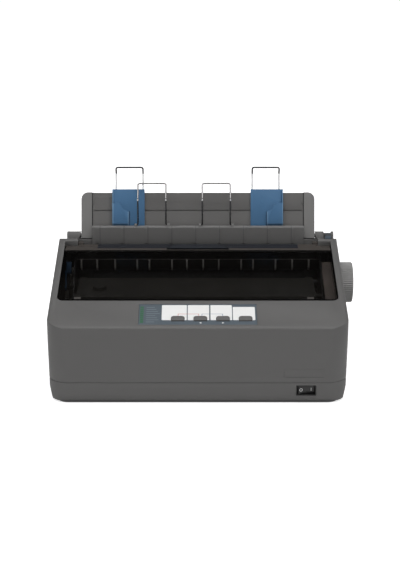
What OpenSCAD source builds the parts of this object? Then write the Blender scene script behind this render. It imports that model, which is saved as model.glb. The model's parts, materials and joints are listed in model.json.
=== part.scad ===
// Desktop impact printer with a sloping case, a hinged see-through cover, a folding
// sheet guide with two edge guides, a platen driven by gears, and a belt-driven carriage.
// +X is to the right, +Y to the back, +Z up. Depths run back from the front face.
// The origin is on the ground, under the middle of the whole printer with its knob.

/* [Case] */
// Width of the case at its widest
body_w = 348; // [342:1:362]
// Depth of the case behind the foot of the sheet guide
tail_l = 61; // [54:1:86]
// Height of the front face above the underside
front_h = 92; // [88:1:104]
// Slope of the top, degrees
top_slope = 11.77; // [10.5:0.1:13]
// Thickness of the case walls
wall = 2.5; // [2:0.1:3]
// Height of the seam between lower and upper case
seam_h = 24.4; // [22:0.2:28]
// Height of the rubber feet below the case
foot_h = 2; // [1:0.5:6]
// Plan radius of the front corners
corner_r = 25; // [15:1:34]
// Plan radius of the rear corners
rear_r = 12; // [6:1:20]
// Radius along the top edges
edge_r = 4; // [3:0.5:6]
// How far the lower case leans in towards its underside
under_in = 4; // [2:0.5:6]
// Height of that leaning band
under_h = 15; // [8:1:19]

/* [Cover] */
// Width of the case's rim on each side of the cover
rim_w = 8.5; // [7.5:0.5:13]
// Depth at which the cover opening starts
window_d = 57.8; // [54:0.5:64]
// Length of the cover's level deck, from its ridge to the hinge axis
deck_l = 27; // [24:1:33]
// Thickness of the cover
cover_t = 2.2; // [1.8:0.1:2.6]
// Gap round the cover
cover_gap = 0.5; // [0.4:0.1:1]
// How far the cover's hinge axis lies behind the platen's axis
hinge_back = 23; // [22:0.5:26]
// Radius of the cover's hinge pins
cover_pin_r = 2; // [1.5:0.1:2.4]

/* [Paper exit and sheet guide] */
// Width of each of the two rear towers
tower_w = 24; // [22:0.5:26]
// Height of the ribbed exit panel above the cover's level deck
exit_h = 20; // [16:1:22]
// How far the exit panel's face lies behind the cover's hinge axis
exit_back = 1.5; // [1:0.25:2.5]
// Depth of the exit ledge, front to back
ledge_w = 10; // [9:0.25:11]
// Spacing of the exit panel's ribs
exit_rib_pitch = 30.5; // [22:0.5:40]
// Distance from the exit ledge to the foot of the sheet guide's face
guide_back = 4.5; // [4:0.25:6.5]
// Lean of the sheet guide, degrees
guide_lean = 20; // [16:1:24]
// Height of the sheet guide along its face
guide_h = 40.5; // [34:0.5:46]
// Width of each wing of the sheet guide
wing_w = 13.5; // [12.5:0.5:18.5]
// Thickness of the sheet guide's plate
guide_t = 3; // [2:0.25:4]
// Width of an edge guide
edge_w = 40.5; // [36:0.5:46]
// Radius of the wires
wire_r = 1; // [0.8:0.1:1.2]
// Height of the exit wires' upright legs
exit_leg_h = 33; // [26:1:36]

/* [Feed rollers and gears] */
// Depth of the platen's axis
platen_d = 175; // [174:0.5:176]
// Height of the case top above the platen's axis
platen_drop = 43.7; // [42:0.5:46]
// Radius of the platen
platen_r = 15; // [14:0.25:15.2]
// Radius of the platen's shaft
shaft_r = 4; // [3:0.25:5]
// Radius of the platen knob
knob_r = 25; // [18:0.5:26]
// How far the knob stands out of the case
knob_reach = 17.8; // [12:0.2:22]
// Width of the gears
gear_w = 5; // [3:0.25:5]
// Radius of the pressure rollers
pressure_r = 5; // [4:0.25:5.5]
// Radius of the exit rollers
exit_roller_r = 6.7; // [5:0.1:7]

/* [Carriage] */
// How far the carriage rail lies in front of the platen's axis
rail_reach = 43; // [41:0.5:45]
// Radius of the carriage rail
rail_r = 5; // [4:0.25:5.5]
// Width of the carriage
carriage_w = 48; // [40:1:52]
// Radius of the belt pulleys
pulley_r = 6.4; // [5:0.1:7]
// Thickness of the timing belt
belt_t = 1.2; // [0.8:0.1:1.4]

/* [Tractors] */
// Width of a tractor
tractor_w = 18; // [16:0.5:20]
// Distance of each tractor from the middle
tractor_x = 109; // [100:1:112]
// Side of the square tractor shaft
square_a = 6; // [5:0.25:6.5]

/* [Controls] */
// Width of the control panel
panel_w = 136; // [130:1:140]
// Depth at which the control panel starts
panel_d = 7.9; // [7:0.1:9]
// Length of the control panel along the slope
panel_l = 43.1; // [40:0.5:46]
// Width of a panel button
button_w = 15.2; // [12:0.2:18]
// Distance between panel buttons
button_pitch = 26; // [24:0.5:28]
// Travel of a panel button
button_travel = 0.8; // [0.5:0.1:1]
// Distance of the power switch's middle from the side of the case
switch_in = 48.7; // [44:0.1:56]
// Width of the power switch opening
switch_w = 23.2; // [20:0.2:26]
// Height of the power switch opening
switch_h = 13; // [11:0.2:14]

/* [Hidden] */
$fn = 48;

// Colours
case_grey = [0.36, 0.36, 0.37];
dark_grey = [0.25, 0.25, 0.26];
smoke = [0.10, 0.09, 0.08, 0.75];
lever_blue = [0.24, 0.42, 0.60];
steel = [0.72, 0.73, 0.74];
bright = [0.85, 0.86, 0.88];
black = [0.06, 0.06, 0.06];
white_plastic = [0.86, 0.86, 0.82];
board_green = [0.10, 0.32, 0.20];

// Clearances
fit = 0.05;
gap = 0.3;
loose = 0.5;

// Depths, each measured from what it stands against
cover_hinge_d = platen_d + hinge_back;
ridge_d = cover_hinge_d - deck_l;
exit_d = cover_hinge_d + exit_back;
ledge_d = exit_d + ledge_w;
guide_d = ledge_d + guide_back;
body_d = guide_d + tail_l;
rail_d = platen_d - rail_reach;
belt_d = rail_d - rail_r - 17;
motor2_r = 12;
frame_front_d = belt_d - motor2_r - 2;
frame_rear_d = body_d - 15;

// Case
mid_x = knob_reach / 2;
half_w = body_w / 2;
bay_x = half_w - tower_w;
seam_z = foot_h + seam_h;
slope = tan(top_slope);
side_lean = 1.5;
roof_end_d = cover_hinge_d + 2;
tail_drop = 29;
window_x = half_w - rim_w;
tower_d = cover_hinge_d - 4.5;
bay_floor_z = seam_z + 68.6;
function top_z(d) = foot_h + front_h + slope * d;
roof_z = top_z(roof_end_d);
wall_in = wall + under_in;
screw_x = half_w - 14;
screw_d = [corner_r + 12, body_d - 24];
screw_r = 1.6;
screw_head_r = 3;
screw_top_z = seam_z + 10;

// Cover and exit
window_r = 8;
wing_x = bay_x - 3.5;
guide_x = wing_x - wing_w;
deck_z = top_z(ridge_d);
hinge_z = deck_z - 0.1;
deck_end_d = cover_hinge_d - 2.5;
arm_r = cover_pin_r + 1.2;
exit_top_z = deck_z + exit_h;
exit_x = guide_x - 0.5;
exit_rib_x = -3.7;
pin_reach = 6.5;
lug_h = 3.1;
exit_pivot = [ledge_d - 3, exit_top_z + 1.8];
exit_wires = [[-75, -40], [5.5, 40.5]];
exit_tip = 23;

// Sheet guide: s runs up its face, n runs towards the front
guide_z = exit_top_z - 0.6;
pivot_s = -13;
pivot_n = -3;
wing_r = 8.5;
groove_s = guide_h * 0.45;
groove_h = 1.6;
groove_t = 1.2;
edge_left_x = [-107.5, -107.5 + edge_w];
edge_right_x = [106.7 - edge_w, 106.7];
edge_top_s = guide_h + 4.3;
edge_face = [gap, 2.5];
flap_n = [4.5, 6];
back_n = [-guide_t - gap - 2 * wire_r - 1.9, -guide_t - gap];
wire_n = (back_n[0] + back_n[1]) / 2;
saddle_s = [guide_h + 0.4, guide_h + 2.6];
back_s = [groove_s - 6, saddle_s[1]];
wire_top_s = edge_top_s + 19.2;
wire_tip = 10.1;
function on_face(s, n) = [guide_d + s * sin(guide_lean) - n * cos(guide_lean),
  guide_z + s * cos(guide_lean) + n * sin(guide_lean)];
guide_pivot = on_face(pivot_s, pivot_n);
guide_pin_r = 2.5;

// Frames
frame_t = 2;
frame_x = bay_x;
base_z = 30;
base_t = 1.5;

// Gear train, all in the plane of a side view
gear_mod = 1;
platen_teeth = 36;
small_teeth = 14;
exit_teeth = 16;
tractor_teeth = 24;
pinion_teeth = 12;
big_teeth = 44;
fine_mod = 0.8;
platen_axis = [platen_d, top_z(platen_d) - platen_drop];
function polar(c, r, a) = [c[0] + r * cos(a), c[1] + r * sin(a)];
function mesh_gap(mod, a, b) = mod * (a + b) / 2;
function mesh_turn(turn, a, b, at_angle) = at_angle + 180 - (turn - at_angle) * a / b + 180 / b;
reduction_a = -120;
pinion_a = -58;
transfer_a = -14;
exit_a = 68;
pressure_a = -70;
reduction_axis = polar(platen_axis, mesh_gap(gear_mod, platen_teeth, small_teeth), reduction_a);
pinion_axis = polar(reduction_axis, mesh_gap(fine_mod, big_teeth, pinion_teeth), pinion_a);
transfer_axis = polar(platen_axis, mesh_gap(gear_mod, platen_teeth, platen_teeth), transfer_a);
tractor_axis = polar(transfer_axis, mesh_gap(gear_mod, platen_teeth, tractor_teeth), transfer_a);
exit_axis = polar(platen_axis, mesh_gap(gear_mod, platen_teeth, exit_teeth), exit_a);
pressure_axis = polar(platen_axis, platen_r + pressure_r + gap, pressure_a);
small_turn = mesh_turn(0, platen_teeth, small_teeth, reduction_a);
transfer_turn = mesh_turn(0, platen_teeth, platen_teeth, transfer_a);
tractor_turn = mesh_turn(transfer_turn, platen_teeth, tractor_teeth, transfer_a);
exit_turn = mesh_turn(0, platen_teeth, exit_teeth, exit_a);
pinion_turn = mesh_turn(small_turn, big_teeth, pinion_teeth, pinion_a);
gear_x0 = -frame_x - frame_t - 1 - gear_w;
gear_span = [gear_x0, gear_x0 + gear_w];
fine_span = [gear_x0 - 6, gear_x0 - 1.3];
stud_r = 2.5;
journal_r = 3;
roller_shaft_r = 2.5;
motor_r = 14;
motor_shaft_r = 1.5;
platen_x = frame_x - 19;

// Tractors
rod_axis = [tractor_axis[0] - 18, tractor_axis[1] - 4];
rod_r = 3;
tube_t = 2.6;
cheek_r = 11.5;
cheek_t = 3;
hub_r = 5.5;
sprocket_r = 8.6;
sprocket_pin_h = 2;
tractor_lid_z = tractor_axis[1] + cheek_r + 0.6;
lid_t = 2;
lid_half = cheek_r + 2;

// Carriage
rail_z = platen_axis[1] - 28.7;
rail_axis = [rail_d, rail_z];
arm_z = rail_z + 4.3;
nose_d = platen_d - platen_r - 2;
nose_z = platen_axis[1];
belt_z = rail_z - 6;
belt_h = 5;
belt_gap = 0.3;
pulley_x = frame_x - 20;
motor2_top_z = belt_z - 3;
cartridge_z = [platen_axis[1] + 2.8, platen_axis[1] + 14.3];
cartridge_d = [platen_d - 91, platen_d - 25];
knob_at = [-frame_x + 32, cartridge_d[0] + 24];

// Ribs of the guide above the platen, spaced as seen through the cover
rib_x = [-144, -124.5, -102.4, -75, -60, -32, -13.6, 6.6, 25.8, 53.5, 68.3, 96, 116.6, 137];

// Knob and levers
knob_hub_r = 7;
lever_d = guide_d - 8;
ear_in = bay_x - 1.8;
slot_x = [bay_x + 8, bay_x + 17.3];
slot_d = [lever_d - 7, lever_d + 18];
thick_axis = [platen_d - 29, platen_axis[1] + 3];
release_axis = [guide_d, platen_axis[1] - 1];

// Boards and sockets; each port is left, right, height
port_z = foot_h + 8;
ports = [[-112, -46, 15], [-36, -4, 13], [6, 19, 12]];
inlet_x = [84, 112];
inlet_z = [foot_h + 3.4, foot_h + 22.6];
board_x = [-half_w + 52, 60];
board_d = [60, body_d - wall_in - loose];
supply_x = [board_x[1] + 10, frame_x - 4];
supply_d = [120, body_d - 37];

// Controls
panel_t = 1.6;
panel_u = panel_d / cos(top_slope);
buttons_x = [for (i = [0:3]) (i - 1.5) * button_pitch + 16];
button_u = [15.4, 24.3];
button_rise = button_travel + 0.6;
switch_x = half_w - switch_in;
switch_z = foot_h + 14.7;
switch_depth = 16;
rocker_tilt = 8;
rocker_d = 6;
rocker_w = switch_w - 4.4;

// Depth and width helpers: everything is placed by [left, right], [front, back], [low, high]
module at(x, d, z) translate([x - mid_x, d - body_d / 2, z]) children();

module block(x, d, z) at(x[0], d[0], z[0]) cube([x[1] - x[0], d[1] - d[0], z[1] - z[0]]);

module both(x, d, z) {
  block(x, d, z);
  block([-x[1], -x[0]], d, z);
}

// Extrudes a side view, drawn as depth and height, from x[0] to x[1]
module side(x) at(x[0], 0, 0) rotate([90, 0, 90]) linear_extrude(x[1] - x[0]) children();

module both_sides(x) {
  side(x) children();
  side([-x[1], -x[0]]) children();
}

module rod(x, p, r) side(x) translate(p) circle(r);

module post(x, d, z, r) at(x, d, z[0]) cylinder(h = z[1] - z[0], r = r);

// A round bar between two points, with a slightly fuller round end, as a bent wire has
module bar(p, q, r) {
  v = q - p;
  translate(p) rotate([0, acos(v[2] / norm(v)), atan2(v[1], v[0])]) cylinder(h = norm(v), r = r);
  translate(q) sphere(r * 1.04);
}

// Local frame of the sloping top: y runs up the slope, z stands on it
module on_slope(x, u, n) at(0, 0, top_z(0)) rotate([top_slope, 0, 0])
  translate([x[0], u[0], n[0]]) cube([x[1] - x[0], u[1] - u[0], n[1] - n[0]]);

// Extrudes a drawing on the sheet guide's face, x across and s up, from n[0] to n[1]
module on_plate(n) at(0, guide_d, guide_z) rotate([-guide_lean, 0, 0])
  translate([0, -n[0], 0]) rotate([90, 0, 0]) linear_extrude(n[1] - n[0]) children();

module rect(x, y) translate([x[0], y[0]]) square([x[1] - x[0], y[1] - y[0]]);

// Involute gear outline with backlash
module gear_2d(teeth, mod) {
  pitch_r = mod * teeth / 2;
  base_r = pitch_r * cos(20);
  tip_r = pitch_r + 0.85 * mod;
  root_r = pitch_r - 1.2 * mod;
  backlash = 0.12;
  inv20 = tan(20) * 180 / PI - 20;
  half = 90 / teeth - backlash / pitch_r * 180 / PI + inv20;
  t_tip = sqrt(tip_r * tip_r / (base_r * base_r) - 1) * 180 / PI;
  steps = 4;
  function flank(i) = let (t = t_tip * i / steps)
    [base_r / cos(atan(t * PI / 180)), half - (t - atan(t * PI / 180))];
  root = min(root_r, base_r - 0.1);
  points = [for (k = [0:teeth - 1]) let (c = k * 360 / teeth) each concat(
    [[root * cos(c - half), root * sin(c - half)]],
    [for (i = [0:steps]) let (f = flank(i)) [f[0] * cos(c - f[1]), f[0] * sin(c - f[1])]],
    [for (i = [steps:-1:0]) let (f = flank(i)) [f[0] * cos(c + f[1]), f[0] * sin(c + f[1])]],
    [[root * cos(c + half), root * sin(c + half)]])];
  polygon(points);
}

module gear(x, axis, teeth, mod, turn, bore) difference() {
  side(x) translate(axis) rotate(turn) gear_2d(teeth, mod);
  rod([x[0] - 1, x[1] + 1], axis, bore);
}

// Outline of the case from above, drawn in by an inset
module plan(i) {
  w = half_w - i;
  rf = corner_r - i;
  rr = rear_r - i;
  for (s = [-1, 1]) {
    translate([s * (w - rf), i + rf]) circle(rf);
    translate([s * (w - rr), body_d - i - rr]) circle(rr);
  }
  rect([-w + rf, w - rf], [i, body_d / 2]);
  rect([-w + rr, w - rr], [body_d / 2, body_d - i]);
  rect([-w, w], [i + rf, body_d - i - rr]);
}

// The case as a solid, drawn in by an inset
module case_form(i) {
  r = edge_r - i;
  top_bend = [for (a = [180:-15:90]) [i + r + r * cos(a), top_z(r) - i - r + r * sin(a)]];
  intersection() {
    at(0, 0, 0) linear_extrude(roof_z + 10) plan(i);
    side([-half_w, half_w]) polygon(concat([[under_in + i, foot_h + i], [i, foot_h + under_h]],
      top_bend, [[roof_end_d, roof_z - i], [body_d - i, roof_z - tail_drop - i],
      [body_d - i, foot_h + under_h], [body_d - under_in - i, foot_h + i]]));
    at(0, body_d + 1, 0) rotate([90, 0, 0]) linear_extrude(body_d + 2)
      polygon([for (p = [[1, foot_h + i, under_in + side_lean + i],
        [1, foot_h + under_h, side_lean + i], [1, seam_z, side_lean + i], [1, top_z(0), i],
        [1, roof_z + 20, i], [-1, roof_z + 20, i], [-1, top_z(0), i],
        [-1, seam_z, side_lean + i], [-1, foot_h + under_h, side_lean + i],
        [-1, foot_h + i, under_in + side_lean + i]]) [p[0] * (half_w - p[2]), p[1]]]);
    at(0, 0, top_z(0)) rotate([top_slope - 90, 0, 0]) translate([0, 0, -60])
      linear_extrude(body_d + 160) {
        rect([-half_w + i, half_w - i], [edge_r, 300]);
        rect([-half_w + edge_r, half_w - edge_r], [i, 300]);
        for (s = [-1, 1]) translate([s * (half_w - edge_r), edge_r]) circle(r);
      }
  }
}

module case_shell() difference() {
  case_form(0);
  case_form(wall);
}

module lower_case() color(case_grey) difference() {
  union() {
    intersection() {
      case_shell();
      block([-half_w, half_w], [-1, body_d + 1], [0, seam_z]);
    }
    for (s = [-1, 1], d = [112, frame_rear_d - 14])
      post(s * (frame_x - 20), d, [foot_h + wall, base_z], 5);
    for (s = [-1, 1], d = screw_d)
      post(s * screw_x, d, [foot_h + wall / 2, seam_z], 4);
  }
  for (s = [-1, 1], d = screw_d) {
    post(s * screw_x, d, [foot_h - 1, seam_z + 1], screw_r);
    post(s * screw_x, d, [foot_h - 1, foot_h + 4], screw_head_r + gap);
  }
  block([switch_x - switch_w / 2, switch_x + switch_w / 2], [-1, wall_in + 1],
    [switch_z - switch_h / 2, switch_z + switch_h / 2]);
  for (p = ports)
    block([p[0], p[1]], [body_d - wall_in - 1, body_d + 1], [port_z, port_z + p[2]]);
  block([inlet_x[0], inlet_x[1]], [body_d - wall_in - 1, body_d + 1], inlet_z);
}

module upper_case() color(case_grey) difference() {
  union() {
    intersection() {
      case_shell();
      block([-half_w, half_w], [-1, body_d + 1], [seam_z, roof_z + 20]);
    }
    intersection() {
      case_form(wall / 2);
      union() {
        both([bay_x, bay_x + wall], [tower_d, body_d], [bay_floor_z, roof_z + 9]);
        both([bay_x, half_w], [tower_d, tower_d + wall], [hinge_z - 12, roof_z + 9]);
      }
    }
    intersection() {
      case_form(0.01);
      on_slope([-panel_w / 2 - wall, panel_w / 2 + wall],
        [panel_u - wall, panel_u + panel_l + wall], [-panel_t - wall, -0.5]);
    }
    side([-bay_x - 14.5, -ear_in]) ear_2d();
    for (x = [[ear_in, slot_x[0]], [slot_x[1], slot_x[1] + 3]]) side(x) ear_2d();
    block([slot_x[0] - 0.1, slot_x[1] + 0.1], [slot_d[1], slot_d[1] + 2.5],
      [roof_z - 16, roof_z - 1]);
    both_sides([bay_x, bay_x + 7.5]) translate([cover_hinge_d, hinge_z]) circle(cover_pin_r + 1.1);
    for (s = [-1, 1], d = screw_d) {
      post(s * screw_x, d, [seam_z, screw_top_z], 4);
      block(s > 0 ? [screw_x, half_w - wall] : [-half_w + wall, -screw_x],
        [d - 2, d + 2], [seam_z, screw_top_z]);
    }
  }
  // opening for the cover
  at(0, 0, seam_z + 40) linear_extrude(200) {
    rect([-window_x, window_x], [window_d + window_r, tower_d]);
    rect([-window_x + window_r, window_x - window_r], [window_d, tower_d]);
    for (s = [-1, 1]) translate([s * (window_x - window_r), window_d + window_r]) circle(window_r);
  }
  // open bay for the paper, between the towers
  block([-bay_x, bay_x], [tower_d - 1, body_d + 1], [bay_floor_z, roof_z + 60]);
  on_slope([-panel_w / 2 - gap, panel_w / 2 + gap], [panel_u - gap, panel_u + panel_l + gap],
    [-panel_t, 5]);
  for (x = buttons_x) on_slope([x - button_w / 2 - gap, x + button_w / 2 + gap],
    [button_u[0] - gap, button_u[1] + gap], [-panel_t - wall - 1, 5]);
  rod([half_w - 12, half_w + 1], platen_axis, knob_hub_r + 1);
  both_sides([bay_x - 1, bay_x + pin_reach + 1]) translate([cover_hinge_d, hinge_z])
    circle(cover_pin_r + fit);
  both_sides([ear_in - 1, bay_x + pin_reach + 0.5]) translate(guide_pivot)
    circle(guide_pin_r + fit);
  block(slot_x, slot_d, [roof_z - 20, roof_z + 30]);
  for (s = [-1, 1], d = screw_d)
    post(s * screw_x, d, [seam_z - 1, screw_top_z - 1.5], screw_r - 0.2);
}

// Side view of the ears that carry the sheet guide
module ear_2d() translate(guide_pivot)
  polygon([[-9, -12], [-4.4, 2.4], [-2.4, 4.6], [2.4, 4.6], [4.8, 2.8], [14, -12]]);

module rubber_feet() color(black) for (s = [-1, 1], d = [30, body_d - 25])
  post(s * (half_w - 34), d, [0, foot_h], 8);

module case_screws() color(steel) for (s = [-1, 1], d = screw_d) {
  post(s * screw_x, d, [foot_h + 1.5, foot_h + 4], screw_head_r);
  post(s * screw_x, d, [foot_h + 4, screw_top_z - 2], screw_r - 0.2);
}

// Cover: sloped lid with a level deck behind the ridge and a pin at each rear end
module printer_cover() color(smoke) {
  x = window_x - cover_gap;
  d0 = window_d + cover_gap;
  lean = 2.4;
  skirt = 7;
  edge_r2 = window_r - cover_gap;
  difference() {
    intersection() {
      side([-x, x]) polygon([[d0 + lean, top_z(d0) - skirt], [d0, top_z(d0)], [ridge_d, deck_z],
        [deck_end_d, deck_z], [deck_end_d, deck_z - skirt], [ridge_d, deck_z - skirt]]);
      at(0, 0, seam_z) linear_extrude(200) {
        rect([-x, x], [d0 + edge_r2, deck_end_d]);
        rect([-x + edge_r2, x - edge_r2], [d0, deck_end_d]);
        for (s = [-1, 1]) translate([s * (x - edge_r2), d0 + edge_r2]) circle(edge_r2);
      }
    }
    side([-x + cover_t, x - cover_t]) polygon([[d0 + lean + cover_t, top_z(d0) - skirt - 5],
      [d0 + cover_t + 1, top_z(d0) - cover_t], [ridge_d, deck_z - cover_t],
      [deck_end_d + 1, deck_z - cover_t], [deck_end_d + 1, deck_z - skirt - 5]]);
    both([bay_x - loose, x + 1], [cover_hinge_d - 8, deck_end_d + 1], [deck_z - 20, deck_z + 1]);
    both([bay_x - 20, x + 1], [ridge_d, deck_end_d + 1], [deck_z - 20, deck_z - cover_t]);
  }
  // grip on the deck
  at(0, 0, deck_z) linear_extrude(1.2) polygon([[-38, ridge_d + 5], [38, ridge_d + 5],
    [33, deck_end_d - 5], [-33, deck_end_d - 5]]);
  both_sides([bay_x - 7, bay_x - 0.6]) {
    translate([cover_hinge_d, hinge_z]) circle(arm_r);
    rect([ridge_d + 12, cover_hinge_d], [hinge_z - arm_r, deck_z]);
  }
  both_sides([bay_x - 0.7, bay_x + pin_reach]) translate([cover_hinge_d, hinge_z])
    circle(cover_pin_r);
}

// Ribbed panel behind the cover, where printed sheets leave, with lugs for its two wires
module exit_panel() color(dark_grey) difference() {
  union() {
    lean = 2.5;
    t = 2.1;
    side([-exit_x, exit_x]) polygon([[exit_d, deck_z - 12], [exit_d, deck_z],
      [exit_d + lean, exit_top_z], [ledge_d, exit_top_z], [ledge_d, exit_top_z - 2],
      [exit_d + lean + t, exit_top_z - 2], [exit_d + t, deck_z], [exit_d + t, deck_z - 12]]);
    side([-guide_x + 2, guide_x - 2]) rect([ledge_d - 2, ledge_d], [deck_z - 3, exit_top_z]);
    both([exit_x - 1, bay_x], [exit_d + 0.2, exit_d + 6], [deck_z - 12, hinge_z - arm_r - 0.7]);
    both([exit_x - 1, bay_x], [exit_d + 2.3, exit_d + 3.8], [deck_z - 12, deck_z + 4.4]);
    rib_n = floor(exit_x / exit_rib_pitch);
    for (i = [-rib_n:rib_n])
      side([i * exit_rib_pitch + exit_rib_x - 1.5, i * exit_rib_pitch + exit_rib_x + 1.5])
        polygon([[exit_d - 0.8, deck_z + 1], [exit_d + lean - 0.8, exit_top_z - 1.5],
          [exit_d + lean, exit_top_z - 0.5], [exit_d + 0.5, deck_z - 1]]);
    for (w = exit_wires, e = [w[0] - 2.9, w[1] + 2.9])
      block([e - 1.6, e + 1.6], [exit_pivot[0] - 2.2, exit_pivot[0] + 1.8],
        [exit_top_z - 1, exit_top_z + lug_h]);
  }
  for (w = exit_wires)
    rod([w[0] - 6, w[1] + 6], exit_pivot, wire_r + fit);
}

module exit_wire(w) color(bright) {
  x0 = w[0] - mid_x;
  x1 = w[1] - mid_x;
  y0 = exit_pivot[0] - body_d / 2;
  z0 = exit_pivot[1];
  bend = [y0, z0 + exit_leg_h];
  tip = [y0 + exit_tip * sin(45), bend[1] + exit_tip * cos(45)];
  for (x = [x0, x1]) {
    bar([x, y0, z0], [x, bend[0], bend[1]], wire_r);
    bar([x, bend[0], bend[1]], [x, tip[0], tip[1]], wire_r);
    translate([x, y0, z0]) sphere(wire_r * 1.04);
  }
  bar([x0, tip[0], tip[1]], [x1, tip[0], tip[1]], wire_r);
  rod([w[0] - 4.4, w[0]], exit_pivot, wire_r);
  rod([w[1], w[1] + 4.4], exit_pivot, wire_r);
}

module exit_wire_left() exit_wire(exit_wires[0]);

module exit_wire_right() exit_wire(exit_wires[1]);

// Sheet guide: a plate with a groove for the edge guides, between two wings on hinge pins
module sheet_guide() color(case_grey) {
  difference() {
    on_plate([-guide_t, 0]) rect([-guide_x - 1, guide_x + 1], [-6, guide_h]);
    on_plate([-groove_t, 1])
      rect([-guide_x + 2, guide_x - 2], [groove_s - groove_h / 2, groove_s + groove_h / 2]);
  }
  corner_s = guide_h + 0.5 - wing_r;
  on_plate([-guide_t - 3, 1]) for (s = [-1, 1]) scale([s, 1]) {
    rect([guide_x, wing_x], [pivot_s - 3.5, corner_s]);
    rect([guide_x, wing_x - wing_r], [corner_s - 1, guide_h + 0.5]);
    translate([wing_x - wing_r, corner_s]) circle(wing_r);
  }
  both_sides([guide_x, wing_x]) translate(guide_pivot) circle(4);
  both_sides([wing_x - 1, bay_x + pin_reach]) translate(guide_pivot) circle(guide_pin_r);
}

// Edge guide: a saddle on the plate's top edge, with a face, a raised flap at its outer side,
// a tongue in the groove, and a back piece that holds a wire
module edge_guide(x, outer) color(lever_blue) {
  flap_w = 20.5;
  fx = outer < 0 ? [x[0], x[0] + flap_w] : [x[1] - flap_w, x[1]];
  ex = outer < 0 ? [x[0], x[0] + 1.5] : [x[1] - 1.5, x[1]];
  neck = [(x[0] + x[1]) / 2 - 8, (x[0] + x[1]) / 2 + 8];
  low = 1.4;
  high = guide_h * 0.67;
  dip = guide_h * 0.43;
  on_plate(edge_face) rect(x, [-1.2, edge_top_s]);
  on_plate(flap_n) difference() {
    rect(fx, [low, high]);
    translate([outer < 0 ? fx[1] : fx[0], high]) circle(high - dip);
  }
  on_plate([edge_face[0], flap_n[1]]) rect(ex, [low, high]);
  on_plate([-groove_t + gap, edge_face[0] + 0.1])
    rect(neck, [groove_s - groove_h / 2 + 0.2, groove_s + groove_h / 2 - 0.2]);
  bx = outer < 0 ? [x[0] + 1, x[1] - 0.3] : [x[0] + 0.3, x[1] - 1];
  on_plate([back_n[1] - 0.1, edge_face[0] + 0.1]) rect(bx, saddle_s);
  difference() {
    on_plate(back_n) rect(bx, back_s);
    for (wx = wire_legs(x, outer)) at(wx, guide_d, guide_z) rotate([-guide_lean, 0, 0])
      translate([0, -wire_n, back_s[0] - 1]) cylinder(h = back_s[1] - back_s[0] + 2, r = wire_r + fit);
  }
}

function wire_legs(x, outer) = outer < 0 ? [x[0] + 4.5, x[1] - 2.2] : [x[0] + 2.2, x[1] - 4.5];

module edge_guide_left() edge_guide(edge_left_x, -1);

module edge_guide_right() edge_guide(edge_right_x, 1);

module guide_wire(x, outer) color(bright) {
  legs = wire_legs(x, outer);
  at(0, guide_d, guide_z) rotate([-guide_lean, 0, 0]) {
    tip = [-wire_n - wire_tip * sin(35), wire_top_s + wire_tip * cos(35)];
    for (wx = legs) {
      bar([wx, -wire_n, back_s[0] + 1], [wx, -wire_n, wire_top_s], wire_r);
      bar([wx, -wire_n, wire_top_s], [wx, tip[0], tip[1]], wire_r);
    }
    bar([legs[0], tip[0], tip[1]], [legs[1], tip[0], tip[1]], wire_r);
  }
}

module guide_wire_left() guide_wire(edge_left_x, -1);

module guide_wire_right() guide_wire(edge_right_x, 1);

// Control panel: a thin plate in its recess, open round the four buttons, with lamp windows
module control_panel() color([0.27, 0.33, 0.38]) difference() {
  on_slope([-panel_w / 2, panel_w / 2], [panel_u, panel_u + panel_l], [-panel_t, -0.2]);
  for (x = buttons_x) on_slope([x - button_w / 2 - gap, x + button_w / 2 + gap],
    [button_u[0] - gap, button_u[1] + gap], [-panel_t - 1, 1]);
}

module button(i) color(dark_grey) {
  x = buttons_x[i];
  on_slope([x - button_w / 2, x + button_w / 2], button_u, [-panel_t - wall + 0.6, button_rise]);
  on_slope([x - 2, x + 2], [button_u[0] + 2, button_u[1] - 2],
    [-panel_t - wall - 3, -panel_t - wall + 0.7]);
}

module button_1() button(0);

module button_2() button(1);

module button_3() button(2);

module button_4() button(3);

// Power switch: a frame in the front wall and a rocker that tips about an upright pin
module switch_housing() color(black) difference() {
  union() {
    block([switch_x - switch_w / 2, switch_x + switch_w / 2], [0.2, switch_depth],
      [switch_z - switch_h / 2, switch_z + switch_h / 2]);
    block([switch_x - switch_w / 2 - 1.5, switch_x + switch_w / 2 + 1.5], [wall_in, wall_in + 1.5],
      [switch_z - switch_h / 2, switch_z + switch_h / 2]);
  }
  block([switch_x - switch_w / 2 + 1.2, switch_x + switch_w / 2 - 1.2], [-1, switch_depth - 2],
    [switch_z - switch_h / 2 + 1.2, switch_z + switch_h / 2 - 1.2]);
  post(switch_x, rocker_d, [switch_z - switch_h / 2 - 1, switch_z + switch_h / 2 + 1], 1 + fit);
}

module power_rocker() color(black) at(switch_x, rocker_d, switch_z) rotate([0, 0, rocker_tilt]) {
  h = switch_h / 2 - 1.5;
  translate([0, 0, -h]) linear_extrude(2 * h) polygon([
    [-rocker_w / 2, -rocker_d + 2.4], [0, -rocker_d + 3.6], [rocker_w / 2, -rocker_d + 2.4],
    [rocker_w / 2 - 1.5, 1.5], [3, 4], [-3, 4], [-rocker_w / 2 + 1.5, 1.5]]);
  translate([0, 0, -switch_h / 2 + 0.3]) cylinder(h = switch_h - 0.6, r = 1);
}

// Platen, its shaft, its gear and the knob turn together
module platen() color(black) difference() {
  rod([-platen_x, platen_x], platen_axis, platen_r);
  rod([-platen_x - 1, platen_x + 1], platen_axis, shaft_r);
}

module platen_shaft() color(steel)
  rod([gear_span[0] - 2, half_w + knob_reach - 3], platen_axis, shaft_r);

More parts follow.
